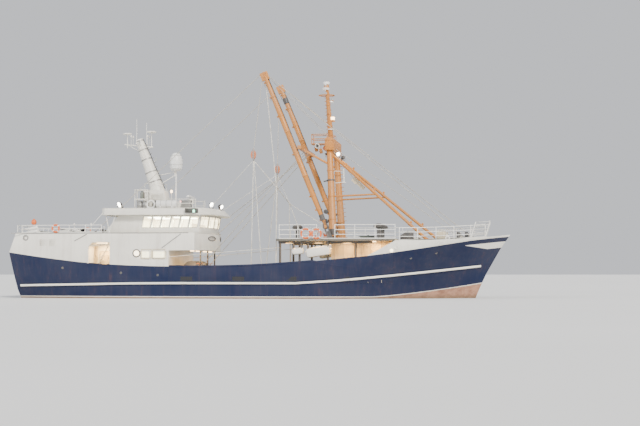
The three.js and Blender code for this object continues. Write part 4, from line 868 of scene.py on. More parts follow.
# Roof fittings: an edge bar, rails, the lamps, and what stands about the casing.
def fit_roof():
    begin("roof_edge_bar")
    aft, fore, half = -10.45, -3.08, 3.85
    corners = [(aft, -half + 0.25), (aft + 0.25, -half), (fore - 0.5, -half), (fore, -half + 0.5),
               (fore + 0.42, -half * 0.4), (fore + 0.42, half * 0.4), (fore, half - 0.5), (fore - 0.5, half),
               (aft + 0.25, half), (aft, half - 0.25)]
    for z, lean in ((5.77, 0.225), (6.20, -0.225)):
        loop_of_rods([Vector((x + lean * (x > -4), y, z)) for x, y in corners], 0.022, 8)
    finish(roof_white)

    # A pipe stand aft of the casing, with its shelf, and the drums lashed in it.
    begin("roof_pipe_stand")
    for y in (-1.62, -0.95):
        for x in (-8.66, -7.75):
            rod((x, y, ROOF_TOP), (x, y, 7.6), 0.03)
        for z in (6.95, 7.6):
            rod((-8.66, y, z), (-7.75, y, z), 0.026)
    for x in (-8.66, -7.75):
        for z in (6.95, 7.6):
            rod((x, -1.62, z), (x, -0.95, z), 0.026)
    slab((-8.68, -1.64, 6.9), (-7.73, -0.93, 6.935), 0.005)
    finish(roof_white)
    begin("roof_drums")
    for x in (-8.38, -7.98):
        turned([(0.17, 0), (0.19, 0.02), (0.19, 0.28), (0.198, 0.3), (0.19, 0.32), (0.19, 0.58), (0.17, 0.6)],
               (x, -1.28, ROOF_TOP), sides=24)
    finish(steel)
    begin("roof_gas_bottles")
    for y in (-1.1, -1.45):
        turned([(0.1, 0), (0.115, 0.03), (0.115, 0.42), (0.09, 0.5), (0.035, 0.53), (0.035, 0.6)],
               (-8.2, y, 6.935), sides=20)
    finish(green)
    begin("roof_round_tank")
    turned([(0.2, 0), (0.27, 0.03), (0.29, 0.12), (0.29, 0.52), (0.27, 0.6), (0.12, 0.64)],
           (-7.18, -1.25, ROOF_TOP), sides=28)
    ring((-7.18, -1.25, 6.5), 0.293, 0.012, (0, 0, 1), 28, 6)
    finish(dark)
    begin("roof_bin")
    slab((-5.3, -1.75, ROOF_TOP + 0.05), (-4.62, -1.25, 6.78), 0.03)
    slab((-5.34, -1.79, 6.78), (-4.58, -1.21, 6.83), 0.015)
    for x in (-5.2, -4.72):
        slab((x - 0.03, -1.72, ROOF_TOP), (x + 0.03, -1.28, ROOF_TOP + 0.06), 0.005)
    finish(steel)
    lifebuoy("roof_lifebuoy", (-7.47, -1.78, 6.55), (0, -1, 0.1), 0.27, buoy_white)
    begin("roof_lifebuoy_post")
    rod((-7.47, -1.70, ROOF_TOP), (-7.47, -1.70, 6.9), 0.022)
    finish(roof_white)

    begin("roof_rails")
    for side in (-1, 1):
        line = [(-6.4, -1.82), (-5.42, -1.82), (-4.45, -1.82), (-4.3, -1.6)]
        posts = [(x, side * abs(y)) for x, y in line]
        for x, y in posts:
            rod((x, y, ROOF_TOP), (x, y, 6.95), 0.02)
        for a, b in zip(posts, posts[1:]):
            for z in (6.6, 6.92):
                rod((*a, z), (*b, z), 0.018)
    finish(roof_white)

    # Sidelights on the roof's edge in their screens, and the floodlights over its two ends.
    for side, lens in ((-1, lamp_green), (1, lamp_red)):
        name = "sidelight_" + ("starboard" if side < 0 else "port")
        begin(name + "_screen")
        for (x0, y0, z0), (x1, y1, z1) in (((-4.5, 3.845, 5.86), (-3.62, 3.875, 6.17)),
                                           ((-4.5, 3.845, 5.86), (-4.46, 4.09, 6.17)),
                                           ((-4.5, 3.845, 5.86), (-3.74, 4.09, 5.885))):
            slab((x0, min(side * y0, side * y1), z0), (x1, max(side * y0, side * y1), z1), 0.004)
        finish(dark)
        begin(name)
        turned([(0.075, 0), (0.07, 0.02), (0.07, 0.16), (0.045, 0.19)], (-3.9, side * 3.99, 5.885))
        finish(lens)
    lamps = [("aft_starboard", (-9.3, -3.35, 6.48), (-0.5, -0.55, -0.3), 0.2, lamp_white),
             ("aft_port", (-9.3, 3.35, 6.48), (-0.5, 0.55, -0.3), 0.2, lamp_white),
             ("aft_middle", (-10.1, 0, 6.45), (-1, 0, -0.4), 0.18, lamp_unlit),
             ("fore_starboard", (-3.17, -1.55, 6.52), (0.8, -0.6, -0.3), 0.17, lamp_white),
             ("fore_port", (-3.17, 1.55, 6.52), (0.8, 0.6, -0.3), 0.17, lamp_unlit),
             ("fore_middle", (-2.72, -0.2, 6.42), (0.85, -0.5, -0.3), 0.15, lamp_white)]
    begin("floodlight_posts")
    for _, (x, y, z), _, radius, _ in lamps:
        base = min(x, -2.98)
        rod((base, y, ROOF_TOP), (x, y, z - radius * 1.2), 0.025)
        turned([(0.06, 0), (0.06, 0.012), (0.03, 0.02)], (base, y, ROOF_TOP))
    finish(roof_white)
    for name, place, facing, radius, lens in lamps:
        floodlight("floodlight_" + name, place, facing, radius, lens)
    begin("casing_lamp")
    turned([(0.07, 0), (0.09, 0.02), (0.085, 0.16), (0.04, 0.2)], (-6.33, -0.3, 7.45))
    finish(lamp_warm)
    begin("casing_lamp_post")
    rod((-6.33, -0.3, 6.75), (-6.33, -0.3, 7.45), 0.025)
    turned([(0.07, 0), (0.07, 0.012), (0.03, 0.02)], (-6.33, -0.3, 6.75))
    finish(roof_white)
    begin("casing_red_lamp")
    turned([(0.05, 0), (0.06, 0.01), (0.055, 0.12), (0.02, 0.15)], (-5.59, -0.55, 6.75))
    finish(lamp_red)


def mast_radius(share):
    return MAST_FOOT_RADIUS + (MAST_HEAD_RADIUS - MAST_FOOT_RADIUS) * share


# The raked mast's clamps, rungs, cables, lamps and brackets, and the casing's louvres and top rails.
def fit_aft_mast():
    foot, head = Vector((-7.35, 0, 7.5)), Vector((-8.78, 0, 11.3))
    along = (head - foot).normalized()
    fore = Vector((along.z, 0, -along.x))

    def on_mast(share, out=0.0, across=0.0):
        radius = mast_radius(share)
        return foot + (head - foot) * share + fore * (radius + out) + Vector((0, across, 0))

    begin("aft_mast_clamps")
    for share in (0.2, 0.38, 0.62, 0.8, 0.97):
        radius = mast_radius(share)
        place = foot + (head - foot) * share
        band(radius - 0.01, radius + 0.022, 0.035, place, along)
    finish(steel)
    begin("aft_mast_rungs")
    for k in range(10):
        share = 0.1 + 0.085 * k
        a, b = on_mast(share, 0.14, -0.16), on_mast(share, 0.14, 0.16)
        rod(a, b, 0.012, sides=8)
        for end, across in ((a, -0.16), (b, 0.16)):
            rod(end, on_mast(share, -0.12, across * 0.9), 0.012, sides=8)
    finish(steel)
    begin("aft_mast_cables")
    for k, across in enumerate((-0.07, -0.02, 0.03, 0.08)):
        ends = [on_mast(share, 0.012 + 0.03 * (share in (0.25, 0.65)), across * (1 - 0.4 * share))
                for share in (0.02, 0.25, 0.5, 0.65, 0.98)]
        for a, b in zip(ends, ends[1:]):
            rod(a, b, 0.011, sides=6)
            ball(b, 0.011, around=6)
    finish(rubber)
    begin("aft_mast_head_lamps")
    for y in (-0.62, 0.62):
        turned([(0.055, 0), (0.07, 0.02), (0.065, 0.16), (0.03, 0.19)], (-8.6, y, 10.95))
    turned([(0.055, 0), (0.07, 0.02), (0.065, 0.16), (0.03, 0.19)], on_mast(0.55, 0.24))
    finish(lamp_unlit)
    begin("aft_mast_brackets")
    for y in (-1.1, 1.1):
        rod((-8.6, y, 10.9), (-8.66, 0, 10.35), 0.024)
    rod(on_mast(0.55, 0.26), on_mast(0.53, -0.05), 0.022)
    for x, z in ((-9.65, 10.93), (-7.88, 10.77)):
        rod((x, 0, z), (-8.55, 0, 10.35), 0.022)
        turned([(0.05, -0.06), (0.06, -0.05), (0.06, 0.05), (0.05, 0.06)], (x, 0, z))
    for x in (-9.3, -8.1):
        rod((x, -0.32, 10.92), (x, 0.32, 10.92), 0.018)
        for y in (-0.3, 0.3):
            rod((x, y, 10.9), (x, y, 11.45), 0.014)
            turned([(0.02, 0), (0.05, 0.01), (0.05, 0.14), (0.02, 0.16)], (x, y, 11.45), sides=12)
    rod((-7.5, 0, 8.7), (-6.13, 0, 8.93), 0.022)
    rod((-7.2, 0, 8.1), (-6.13, 0, 8.72), 0.03)
    rod((-6.13, 0, 8.66), (-6.13, 0, 9.0), 0.07)
    finish(roof_white)
    begin("radome_seams")
    for z, radius in ((9.17, 0.444), (9.46, 0.474), (10.1, 0.384)):
        ring((-6.07, 0, z), radius, 0.008, (0, 0, 1), 36, 6)
    finish(steel)
    begin("casing_louvres")
    for side in (-1, 1):
        for k in range(9):
            z = 6.55 + 0.09 * k
            plank((-7.25, side * 0.765, z), (0.8, 0.03, 0.05), up=(0, -0.5 * side, 1))
        side_frame(-7.69, -6.81, 6.47, 7.36, side * 0.765, 0.02)
        side_frame(-8.2, -6.9, 7.64, 8.1, side * 0.6, 0.016)
    finish(roof_white)


# The passages recessed into the deckhouse: mouth bar, brace, door frame, lamp and pipes. The doors
# hang on solid walls, with no doorway behind them.
def fit_passages():
    for word, side in SIDES:
        outer = side * 3.9
        inner = side * PASSAGE_WALL
        begin("passage_rim_" + word)
        path = [(-11.35, 2.42), (-11.35, 3.55), (-11.05, 3.85), (-9.8, 3.85)]
        for a, b in zip(path, path[1:]):
            ya, yb = skin("deckhouse", a[0] - 0.15, 3.0, side).y, skin("deckhouse", b[0] - 0.15, 3.0, side).y
            rod((a[0], ya, a[1]), (b[0], yb, b[1]), 0.055, sides=12)
            ball((b[0], yb, b[1]), 0.055, around=10)
        finish(roof_white)
        begin("passage_brace_" + word)
        rod((-9.86, outer * 0.985, 3.74), (-10.5, outer * 0.985, 2.6), 0.035)
        rod((-11.3, outer * 0.985, 3.62), (-9.84, outer * 0.985, 3.72), 0.045)
        finish(cream)
        begin("passage_door_frame_" + word)
        x0 = (-10.92 if side < 0 else -10.93) - 0.03
        side_frame(x0, x0 + 0.79, 1.47, 3.27, inner, 0.022)
        finish(cream)
        body = "passage_door_" + word
        begin(body + "_stiffening")
        low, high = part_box(body)
        face = side * (PASSAGE_WALL + 0.055)
        mid = (low.x + high.x) / 2
        for z in (1.75, 2.35, 2.95):
            plank((mid, face, z), (0.5, 0.03, 0.06), edge=0.01)
        for dx in (-0.26, 0.26):
            for z in (1.7, 2.1, 2.85):
                rod((mid + dx, face, z), (mid + dx, face + side * 0.06, z), 0.022)
                plank((mid + dx * 0.86, face + side * 0.055, z), (0.14, 0.02, 0.025), (1, 0, 0.25),
                      edge=0.006)
        finish(cream, body)
        begin("passage_lamp_" + word)
        turned([(0.07, 0), (0.09, 0.02), (0.085, 0.11), (0.05, 0.15)], (-10.22, side * 3.3, 3.85), (0, 0, -1))
        slab((-11.0, side * 2.9 - 0.09, 3.8), (-10.4, side * 2.9 + 0.09, 3.845), 0.012)
        finish(lamp_warm)
        begin("passage_lamp_cage_" + word)
        for k in range(3):
            ring((-10.22, side * 3.3, 3.80 - 0.05 * k), 0.1, 0.006, (0, 0, 1), 20, 6)
        for k in range(4):
            turn = math.radians(90 * k)
            spot = Vector((-10.22 + 0.1 * math.cos(turn), side * 3.3 + 0.1 * math.sin(turn), 3.85))
            rod(spot, spot - Vector((0, 0, 0.17)), 0.006, sides=6)
        finish(dark)
        begin("passage_pipes_" + word)
        y = inner + side * 0.07
        for k in range(3):
            rod((-11.3 + 0.1 * k, y, 1.37), (-11.3 + 0.1 * k, y, 3.84), 0.028)
        finish(cream)


# The deckhouse's panes, which glow with painted light, from aft to fore.
HOUSE_PANES = ((-7.55, -6.85), (-6.75, -5.9))


# The place of the deckhouse's curved front at a distance from the middle.
def house_front(y):
    return -3.85 + 0.85 * (1 - (y / 3.95) ** 2)


# Seam strips, pipes, ports and vents on the deckhouse's sides and curved front.
def fit_deckhouse():
    for word, side in SIDES:
        begin("deckhouse_half_round_" + word)
        places = [-16.9 + 0.9 * k for k in range(16)] + [-3.93]
        for a, b in zip(places, places[1:]):
            ya, yb = skin("deckhouse", a, 4.4, side).y, skin("deckhouse", b, 4.4, side).y
            rod((a, ya, 4.5), (b, yb, 4.5), 0.028, sides=8)
        finish(steel)
        begin("deckhouse_drain_pipes_" + word)
        for x0, z0, x1, z1 in ((-12.32, 3.96, -11.45, 4.42), (-6.13, 3.46, -4.8, 4.42)):
            y0, y1 = skin("deckhouse", x0, z0, side).y, skin("deckhouse", x1, z1, side).y
            rod((x0, y0 + side * 0.012, z0), (x1, y1 + side * 0.012, z1), 0.03)
        finish(steel)
        begin("deckhouse_port_rim_" + word)
        spot = skin("deckhouse", -7.9, 3.1, side)
        ring((-7.9, spot.y + side * 0.01, 3.1), 0.24, 0.04, (0, 1, 0), 32, 10)
        for k in range(8):
            turn = math.radians(45 * k)
            x, z = -7.9 + 0.24 * math.cos(turn), 3.1 + 0.24 * math.sin(turn)
            rod((x, spot.y, z), (x, spot.y + side * 0.056, z), 0.013, sides=6)
        finish(dark)
        begin("deckhouse_pane_frames_" + word)
        for x0, x1 in HOUSE_PANES:
            y = skin("deckhouse", x0 - 0.05, 3.3, side).y + side * 0.008
            side_frame(x0, x1, 2.78, 3.36, y, 0.024)
        finish(cream)
        # A glowing disc in the porthole and glowing sheets in the panes: painted light for lit rooms behind
        # them.
        begin("deckhouse_port_glow_sheets_" + word)
        turned([(0.19, 0), (0.19, 0.012)], (-7.9, spot.y, 3.1), (0, side, 0), 28)
        for x0, x1 in HOUSE_PANES:
            slab((x0, side * 3.935 - 0.006, 2.78), (x1, side * 3.935 + 0.006, 3.36), 0)
        finish(lamp_and_window_glow)
        begin("deckhouse_port_glass_" + word)
        for x0, x1 in HOUSE_PANES:
            slab((x0, side * 3.965 - 0.004, 2.79), (x1, side * 3.965 + 0.004, 3.35), 0)
        finish(glass)
        begin("deckhouse_side_vents_" + word)
        for x in (-14.6, -13.9):
            y = skin("deckhouse", x, 3.9, side).y
            for k in range(5):
                plank((x, y + side * 0.012, 3.72 + 0.07 * k), (0.46, 0.03, 0.035), up=(0, -0.5 * side, 1))
            side_frame(x - 0.26, x + 0.26, 3.66, 4.06, y + side * 0.01, 0.014)
        finish(house_white)
        begin("deckhouse_fairlead_" + word)
        spot = skin("deckhouse", -15.9, 4.2, side)
        ring((-15.9, spot.y + side * 0.01, 4.2), 0.16, 0.05, (0, 1, 0.05), 28, 10)
        finish(steel)
    begin("deckhouse_front_vents")
    for side in (-1, 1):
        mouth = []
        for k in range(24):
            y = side * 1.5 + 0.7 * math.cos(math.radians(15 * k))
            mouth.append(Vector((house_front(y) + 0.01, y, 4.14 + 0.15 * math.sin(math.radians(15 * k)))))
        loop_of_rods(mouth, 0.028)
        for k in range(1, 12):
            rod(mouth[k], mouth[24 - k], 0.012, sides=6)
    finish(dark)
    begin("overhang_posts")
    for y in (-2.45, 0, 2.45):
        rod((-3.75, y, DECK), (-3.75, y, 3.31), 0.055, sides=12)
        for low, high in ((DECK, 1.08), (3.27, 3.3)):
            rod((-3.75, y, low), (-3.75, y, high), 0.09, sides=16)
    finish(dark)
    begin("overhang_lamps")
    for y in (-3.0, -1.2, 1.2, 3.0):
        slab((-4.3, y - 0.3, 3.235), (-4.12, y + 0.3, 3.29), 0.012)
    finish(lamp_warm)
    begin("deckhouse_front_lip")
    for k in range(24):
        y0, y1 = -3.9 + 7.8 * k / 24, -3.9 + 7.8 * (k + 1) / 24
        x0, x1 = house_front(y0), house_front(y1)
        for z, radius in ((3.32, 0.035), (4.5, 0.028)):
            rod((x0, y0, z), (x1, y1, z), radius, sides=8)
    finish(house_white)


# Cap rail, stays and freeing ports of the bulwarks, and the hull's scuppers and anodes.
def fit_bulwarks():
    places = [-5.5 + 0.9 * k for k in range(17)]
    for word, side in SIDES:
        begin("bulwark_cap_" + word)
        tops = []
        for k in range(18):
            x = -5.62 + 0.9 * k * 15.25 / 15.3
            z = bulwark_top(x)
            tops.append(Vector((x, skin("bulwark_" + word, x, z - 0.08, side).y - side * 0.06, z)))
        for a, b in zip(tops, tops[1:]):
            rod(a, b, 0.085, sides=12)
            ball(b, 0.085, around=10)
        finish(navy)
        begin("bulwark_stays_" + word)
        for x in places:
            z = bulwark_top(x)
            y = skin("bulwark_" + word, x, 1.6, side).y - side * 0.13
            plank((x, y - side * 0.11, (DECK + z - 0.12) / 2), (0.02, 0.24, z - 0.2 - DECK), (1, 0, 0),
                  (0, side * 0.12, 1), 0.003)
        finish(cream)
        begin("freeing_port_grids_" + word)
        for x in (-4.4, -0.8, 2.8, 6.4):
            y = skin("bulwark_" + word, x, 1.35, side).y
            side_frame(x - 0.42, x + 0.42, 1.2, 1.52, y, 0.02)
            for k in range(5):
                rod((x - 0.28 + 0.14 * k, y, 1.2), (x - 0.28 + 0.14 * k, y, 1.52), 0.009, sides=6)
        finish(navy)
        # Black sheets flush in the freeing ports: painted shade standing in for the dark openings through the
        # bulwark.
        begin("freeing_port_shade_sheets_" + word)
        for x in (-4.4, -0.8, 2.8, 6.4):
            y = skin("bulwark_" + word, x, 1.35, side).y
            slab((x - 0.42, y - 0.004, 1.2), (x + 0.42, y + 0.004, 1.52), 0)
        finish(rubber)
        begin("scuppers_" + word)
        for x, z in ((-13.2, 2.1), (-9.0, 1.75), (-6.4, 1.6), (10.9, 2.75), (12.6, 3.1)):
            y = skin("hull", x, z, side).y
            ring((x, y, z), 0.07, 0.018, (0, 1, 0), 20, 8)
            # A dark disc inside each rim: painted shade for the scupper's hole.
            turned([(0.06, 0), (0.06, 0.01)], (x, y, z), (0, side, 0), 16)
        finish(dark)
        begin("hull_anodes_" + word)
        for x in (-11.5, -8.2, -4.8, -1.2, 2.6, 6.2, 9.4):
            place = skin("hull", x, -0.9, side)
            slab((x - 0.2, place.y - 0.03, -0.96), (x + 0.2, place.y + 0.03, -0.84), 0.02)
        finish(steel)


# Height of the bulwark's top, which the construction gives at any place along the well.
def bulwark_top(x):
    y = skin("bulwark_starboard", x, 1.9, -1).y + 0.06
    place = SHELLS["bulwark_starboard"].ray_cast(Vector((x, y, 9)), Vector((0, 0, -1)))[0]
    return place.z if place else 2.2


# The hatch's clips, the winch's brakes and wound wire, and the vents of the working deck.
def fit_working_deck():
    begin("hatch_clips")
    for side in (-1, 1):
        for x in (-1.4, -0.6, 0.2):
            rod((x, side * 1.12, 1.3), (x, side * 1.12, 1.62), 0.025)
            plank((x, side * 1.13, 1.62), (0.05, 0.06, 0.12), edge=0.01)
    finish(dark)
    begin("winch_wires")
    for side in (-1, 1):
        for k in range(21):
            y = side * (0.6 + 0.0525 * k)
            ring((DRUM_X, y, DRUM_Z), 0.42, 0.024, (0, 1, 0), 36, 6)
    finish(wire_rope)
    begin("winch_brakes")
    for side in (-1, 1):
        y = side * 1.88
        rod((-3.95, y, 1.2), (-3.95, y, 2.35), 0.03)
        ring((-3.95, y, 2.4), 0.2, 0.018, (0, 0, 1), 28, 8)
        for turn in (0, 60, 120):
            a = math.radians(turn)
            reach = Vector((0.2 * math.cos(a), 0.2 * math.sin(a), 0))
            rod(Vector((-3.95, y, 2.4)) - reach, Vector((-3.95, y, 2.4)) + reach, 0.01, sides=6)
    finish(orange)
    begin("deck_vents")
    for x, y, tall in ((-2.6, -3.3, 0.75), (-2.6, 3.3, 0.75), (1.3, 3.3, 0.6), (1.3, -3.3, 0.6)):
        turned([(0.09, 0), (0.09, tall), (0.2, tall + 0.02), (0.21, tall + 0.14), (0.13, tall + 0.22)],
               (x, y, DECK), sides=24)
    finish(white)


# The shelter deck: its edge bar, hoods beneath it, lifebuoys and the gear on top.
def fit_shelter():
    begin("shelter_edge_bar")
    for side in (-1, 1):
        line = [(1.9, 3.84), (6.5, 3.84), (9.9, 3.765)]
        for z in (3.95, 4.03):
            for (x0, y0), (x1, y1) in zip(line, line[1:]):
                rod((x0, side * y0, z), (x1, side * y1, z), 0.03, sides=8)
    for z in (3.95, 4.03):
        rod((1.78, -3.72, z), (1.78, 3.72, z), 0.03, sides=8)
        for side in (-1, 1):
            rod((1.78, side * 3.72, z), (1.9, side * 3.84, z), 0.03, sides=8)
    finish(dark)
    for word, side in SIDES:
        begin("shelter_hoods_" + word)
        plank((3.23, side * 3.36, 3.24), (0.76, 0.72, 0.44), (1, 0, 0.1), (0, 0, 1), 0.14)
        plank((4.62, side * 3.34, 3.2), (1.66, 0.79, 0.66), (1, 0, 0.15), (0, 0, 1), 0.19)
        finish(roof_white)
        begin("shelter_hood_brackets_" + word)
        for x in (2.95, 3.5, 3.95, 5.3):
            rod((x, side * 3.3, 3.4), (x, side * 3.3, 3.92), 0.03)
            rod((x, side * 3.66, 3.3), (x, side * 3.66, 3.92), 0.03)
        finish(dark)
        for k, (x, z) in enumerate(((3.82, 4.42), (4.55, 4.4))):
            lifebuoy("waist_lifebuoy_%s_%d" % (word, k + 1), (x, side * 3.9, z), (0, side, 0), 0.31)
        begin("shelter_lamps_" + word)
        for x in (2.5, 4.4, 6.3, 8.2):
            slab((x - 0.3, side * 2.75 - 0.06, 3.86), (x + 0.3, side * 2.75 + 0.06, 3.915), 0.012)
        finish(lamp_warm)
    begin("shelter_top_vents")
    for x, y in ((8.6, -1.6), (8.6, 1.6), (2.6, 0.7)):
        turned([(0.13, 0), (0.13, 0.78), (0.36, 0.82), (0.38, 0.94), (0.3, 1.04), (0.12, 1.1)],
               (x, y, SHELTER_TOP), sides=28)
    finish(dark)
    begin("shelter_top_hatch")
    slab((7.2, -0.5, SHELTER_TOP), (8.2, 0.5, SHELTER_TOP + 0.22), 0.02)
    slab((7.15, -0.55, SHELTER_TOP + 0.22), (8.25, 0.55, SHELTER_TOP + 0.28), 0.02)
    for y in (-0.35, 0.35):
        rod((7.1, y - 0.08, SHELTER_TOP + 0.24), (7.1, y + 0.08, SHELTER_TOP + 0.24), 0.03)
    turned([(0.06, 0), (0.05, 0.08), (0.02, 0.1)], (7.7, 0, SHELTER_TOP + 0.28))
    finish(green)
    begin("store_house_frames")
    for side in (-1, 1):
        for k in range(7):
            x = 5.7 + 0.62 * k
            plank((x, side * 2.53, 2.5), (0.06, 0.07, 2.7), edge=0.01)
    for y in (-1.9, 1.9):
        plank((5.37, y, 2.5), (0.07, 0.06, 2.7), edge=0.01)
    finish(cream)
    begin("store_door_stiffening")
    low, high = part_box("store_door")
    mid, x = (low.y + high.y) / 2, 5.4 - 0.06
    for z in (1.6, 2.2, 2.8):
        plank((x, mid + 0.02, z), (0.03, 0.5, 0.06), edge=0.01)
    finish(cream, "store_door")
    begin("shelter_ladder")
    for y in (-0.2, 0.2):
        rod((1.84, 2.4 + y, DECK), (1.84, 2.4 + y, 4.9), 0.025)
        rod((1.84, 2.4 + y, 4.9), (2.1, 2.4 + y, 4.8), 0.025)
    for k in range(10):
        rod((1.84, 2.2, 1.35 + 0.28 * k), (1.84, 2.6, 1.35 + 0.28 * k), 0.014)
    finish(rail_white)


# The middle line and the radius of a gantry leg.
def leg_ends(side):
    return [Vector((x, side * y, z)) for x, y, z in (LEG_FOOT, LEG_HEAD)]


def leg_radius(z):
    return LEG_FOOT_RADIUS - LEG_TAPER * (z - LEG_FOOT[2]) / LEG_RISE


# Flanges, rungs, small winches, sheaves and lamps of the gantry.
def fit_gantry():
    for word, side in SIDES:
        foot, head = leg_ends(side)
        along = (head - foot).normalized()

        def on_leg(z):
            return foot + (head - foot) * ((z - foot.z) / (head.z - foot.z))

        begin("gantry_bands_" + word)
        for z in (4.25, 5.4, 7.0, 8.8, 10.05):
            radius = leg_radius(z)
            band(radius - 0.02, radius + 0.016, 0.04, on_leg(z), along)
        for turn in range(8):
            angle = math.radians(45 * turn + 22.5)
            out = Vector((math.cos(angle), math.sin(angle), 0))
            plank(Vector((5.56, side * 2.83, 4.2)) + out * 0.33, (0.16, 0.02, 0.2), out, (0, 0, 1), 0.004)
        finish(buff)
        begin("gantry_rungs_" + word)
        for k in range(18):
            z = 4.6 + 0.3 * k
            centre = on_leg(z)
            radius = leg_radius(z)
            fore, port = Vector((1, 0, 0)), Vector((0, 0.17, 0))
            a, b = centre + fore * (radius + 0.13) - port, centre + fore * (radius + 0.13) + port
            rod(a, b, 0.012, sides=8)
            rod(a, centre + fore * (radius - 0.06) - Vector((0, 0.13, 0)), 0.012, sides=8)
            rod(b, centre + fore * (radius - 0.06) + Vector((0, 0.13, 0)), 0.012, sides=8)
        finish(buff)
        begin("gantry_winches_" + word)
        for z in (5.3, 5.95):
            centre = on_leg(z) - Vector((0.42, 0, 0))
            turned([(0.13, -0.16), (0.15, -0.15), (0.09, -0.12), (0.09, 0.12), (0.15, 0.15), (0.13, 0.16)],
                   centre, (0, 1, 0), 24)
            plank(centre + Vector((0.12, 0, 0)), (0.24, 0.3, 0.05), edge=0.01)
        finish(dark)
        begin("gantry_lamp_arm_" + word)
        rod((5.5, side * 1.6, 10.25), (5.72, side * 1.6, 10.02), 0.025)
        finish(buff)
        name = "gantry_floodlight_%s_" + word
        floodlight(name % "fore", (5.76, side * 1.6, 9.98), (0.5, side * 0.75, -0.35), 0.15)
        floodlight(name % "aft", (4.82, side * 0.75, 10.02), (-0.6, 0, -0.8), 0.12, lamp_unlit)
        begin("gantry_lamp_bracket_" + word)
        rod((4.98, side * 0.75, 10.22), (4.86, side * 0.75, 10.08), 0.025)
        finish(buff)
        begin("gantry_sheaves_" + word)
        for y in (0.35, 1.1):
            for dy in (-0.05, 0.05):
                plank((4.84, side * y + dy, 10.45), (0.2, 0.018, 0.34), edge=0.006)
            sheave(0.13, 0.145, 0.11, 0.035, 0.03, (4.78, side * y, 10.45))
        finish(orange)
        begin("gantry_strut_lugs_" + word)
        top = Vector((5.3, side * 1.98, 10.0))
        low = Vector((12.29 if side < 0 else 12.99, side * 2.265, 3.71))
        for share in (0.14, 0.42, 0.78):
            spot = top + (low - top) * share
            band(0.095, 0.115, 0.05, spot, low - top, 20)
            plank(spot + Vector((0.1, 0, 0.12)), (0.14, 0.03, 0.16), edge=0.01)
        finish(buff)
    begin("gantry_head_stiffeners")
    for k in range(9):
        y = -2.2 + 0.55 * k
        for x in (4.925, 5.555):
            plank((x, y, 10.62), (0.02, 0.03, 0.72))
    for y in (-2.39, 2.39):
        side_frame(4.97, 5.51, 10.26, 10.9, y, 0.016)
    finish(buff)
    begin("gantry_white_pipe")
    rod((6.25, -2.2, 7.98), (6.22, -2.2, 8.92), 0.042, sides=12)
    rod((6.25, -2.2, 8.0), (5.5, -2.3, 7.9), 0.025)
    rod((6.23, -2.2, 8.75), (5.45, -2.2, 8.75), 0.02)
    slab((6.13, -2.27, 7.94), (6.37, -2.13, 7.99), 0.01)
    finish(roof_white)
    # Dark bands on the starboard leg: a narrow one at two thirds of its height with a short bar, and a long
    # one that makes the leg dark at its foot.
    begin("gantry_leg_collar")
    foot, head = leg_ends(-1)
    band(0.2, 0.262, 0.05, foot.lerp(head, 0.66), STARBOARD_LEG_LINE)
    rod((5.1, -2.27, 8.1), (4.84, -2.27, 8.04), 0.045)
    band(0.22, 0.29, 0.3, foot.lerp(head, 0.06), STARBOARD_LEG_LINE)
    finish(dark)
    # A snatch block hung from the gantry's head by a wire, under the near strut.
    begin("gantry_snatch_block")
    for y, over in ((-1.72, 0.013), (-1.84, -0.013)):
        plank((7.22, y, 7.92), (1.05, 0.02, 0.26), (1, 0, -1), (1, 0, 1), 0.004)
        plank((7.0, y + over, 8.14), (0.42, 0.02, 0.42), (1, 0, -1), (1, 0, 1), 0.004)
    sheave(0.16, 0.18, 0.13, 0.045, 0.04, (7.0, -1.78, 8.14), sides=28)
    rod((7.0, -1.86, 8.14), (7.0, -1.7, 8.14), 0.04)
    rod((7.56, -1.86, 7.58), (7.56, -1.7, 7.58), 0.035)
    rod((6.86, -1.78, 8.28), (5.46, -1.78, 10.2), 0.02)
    finish(cream)


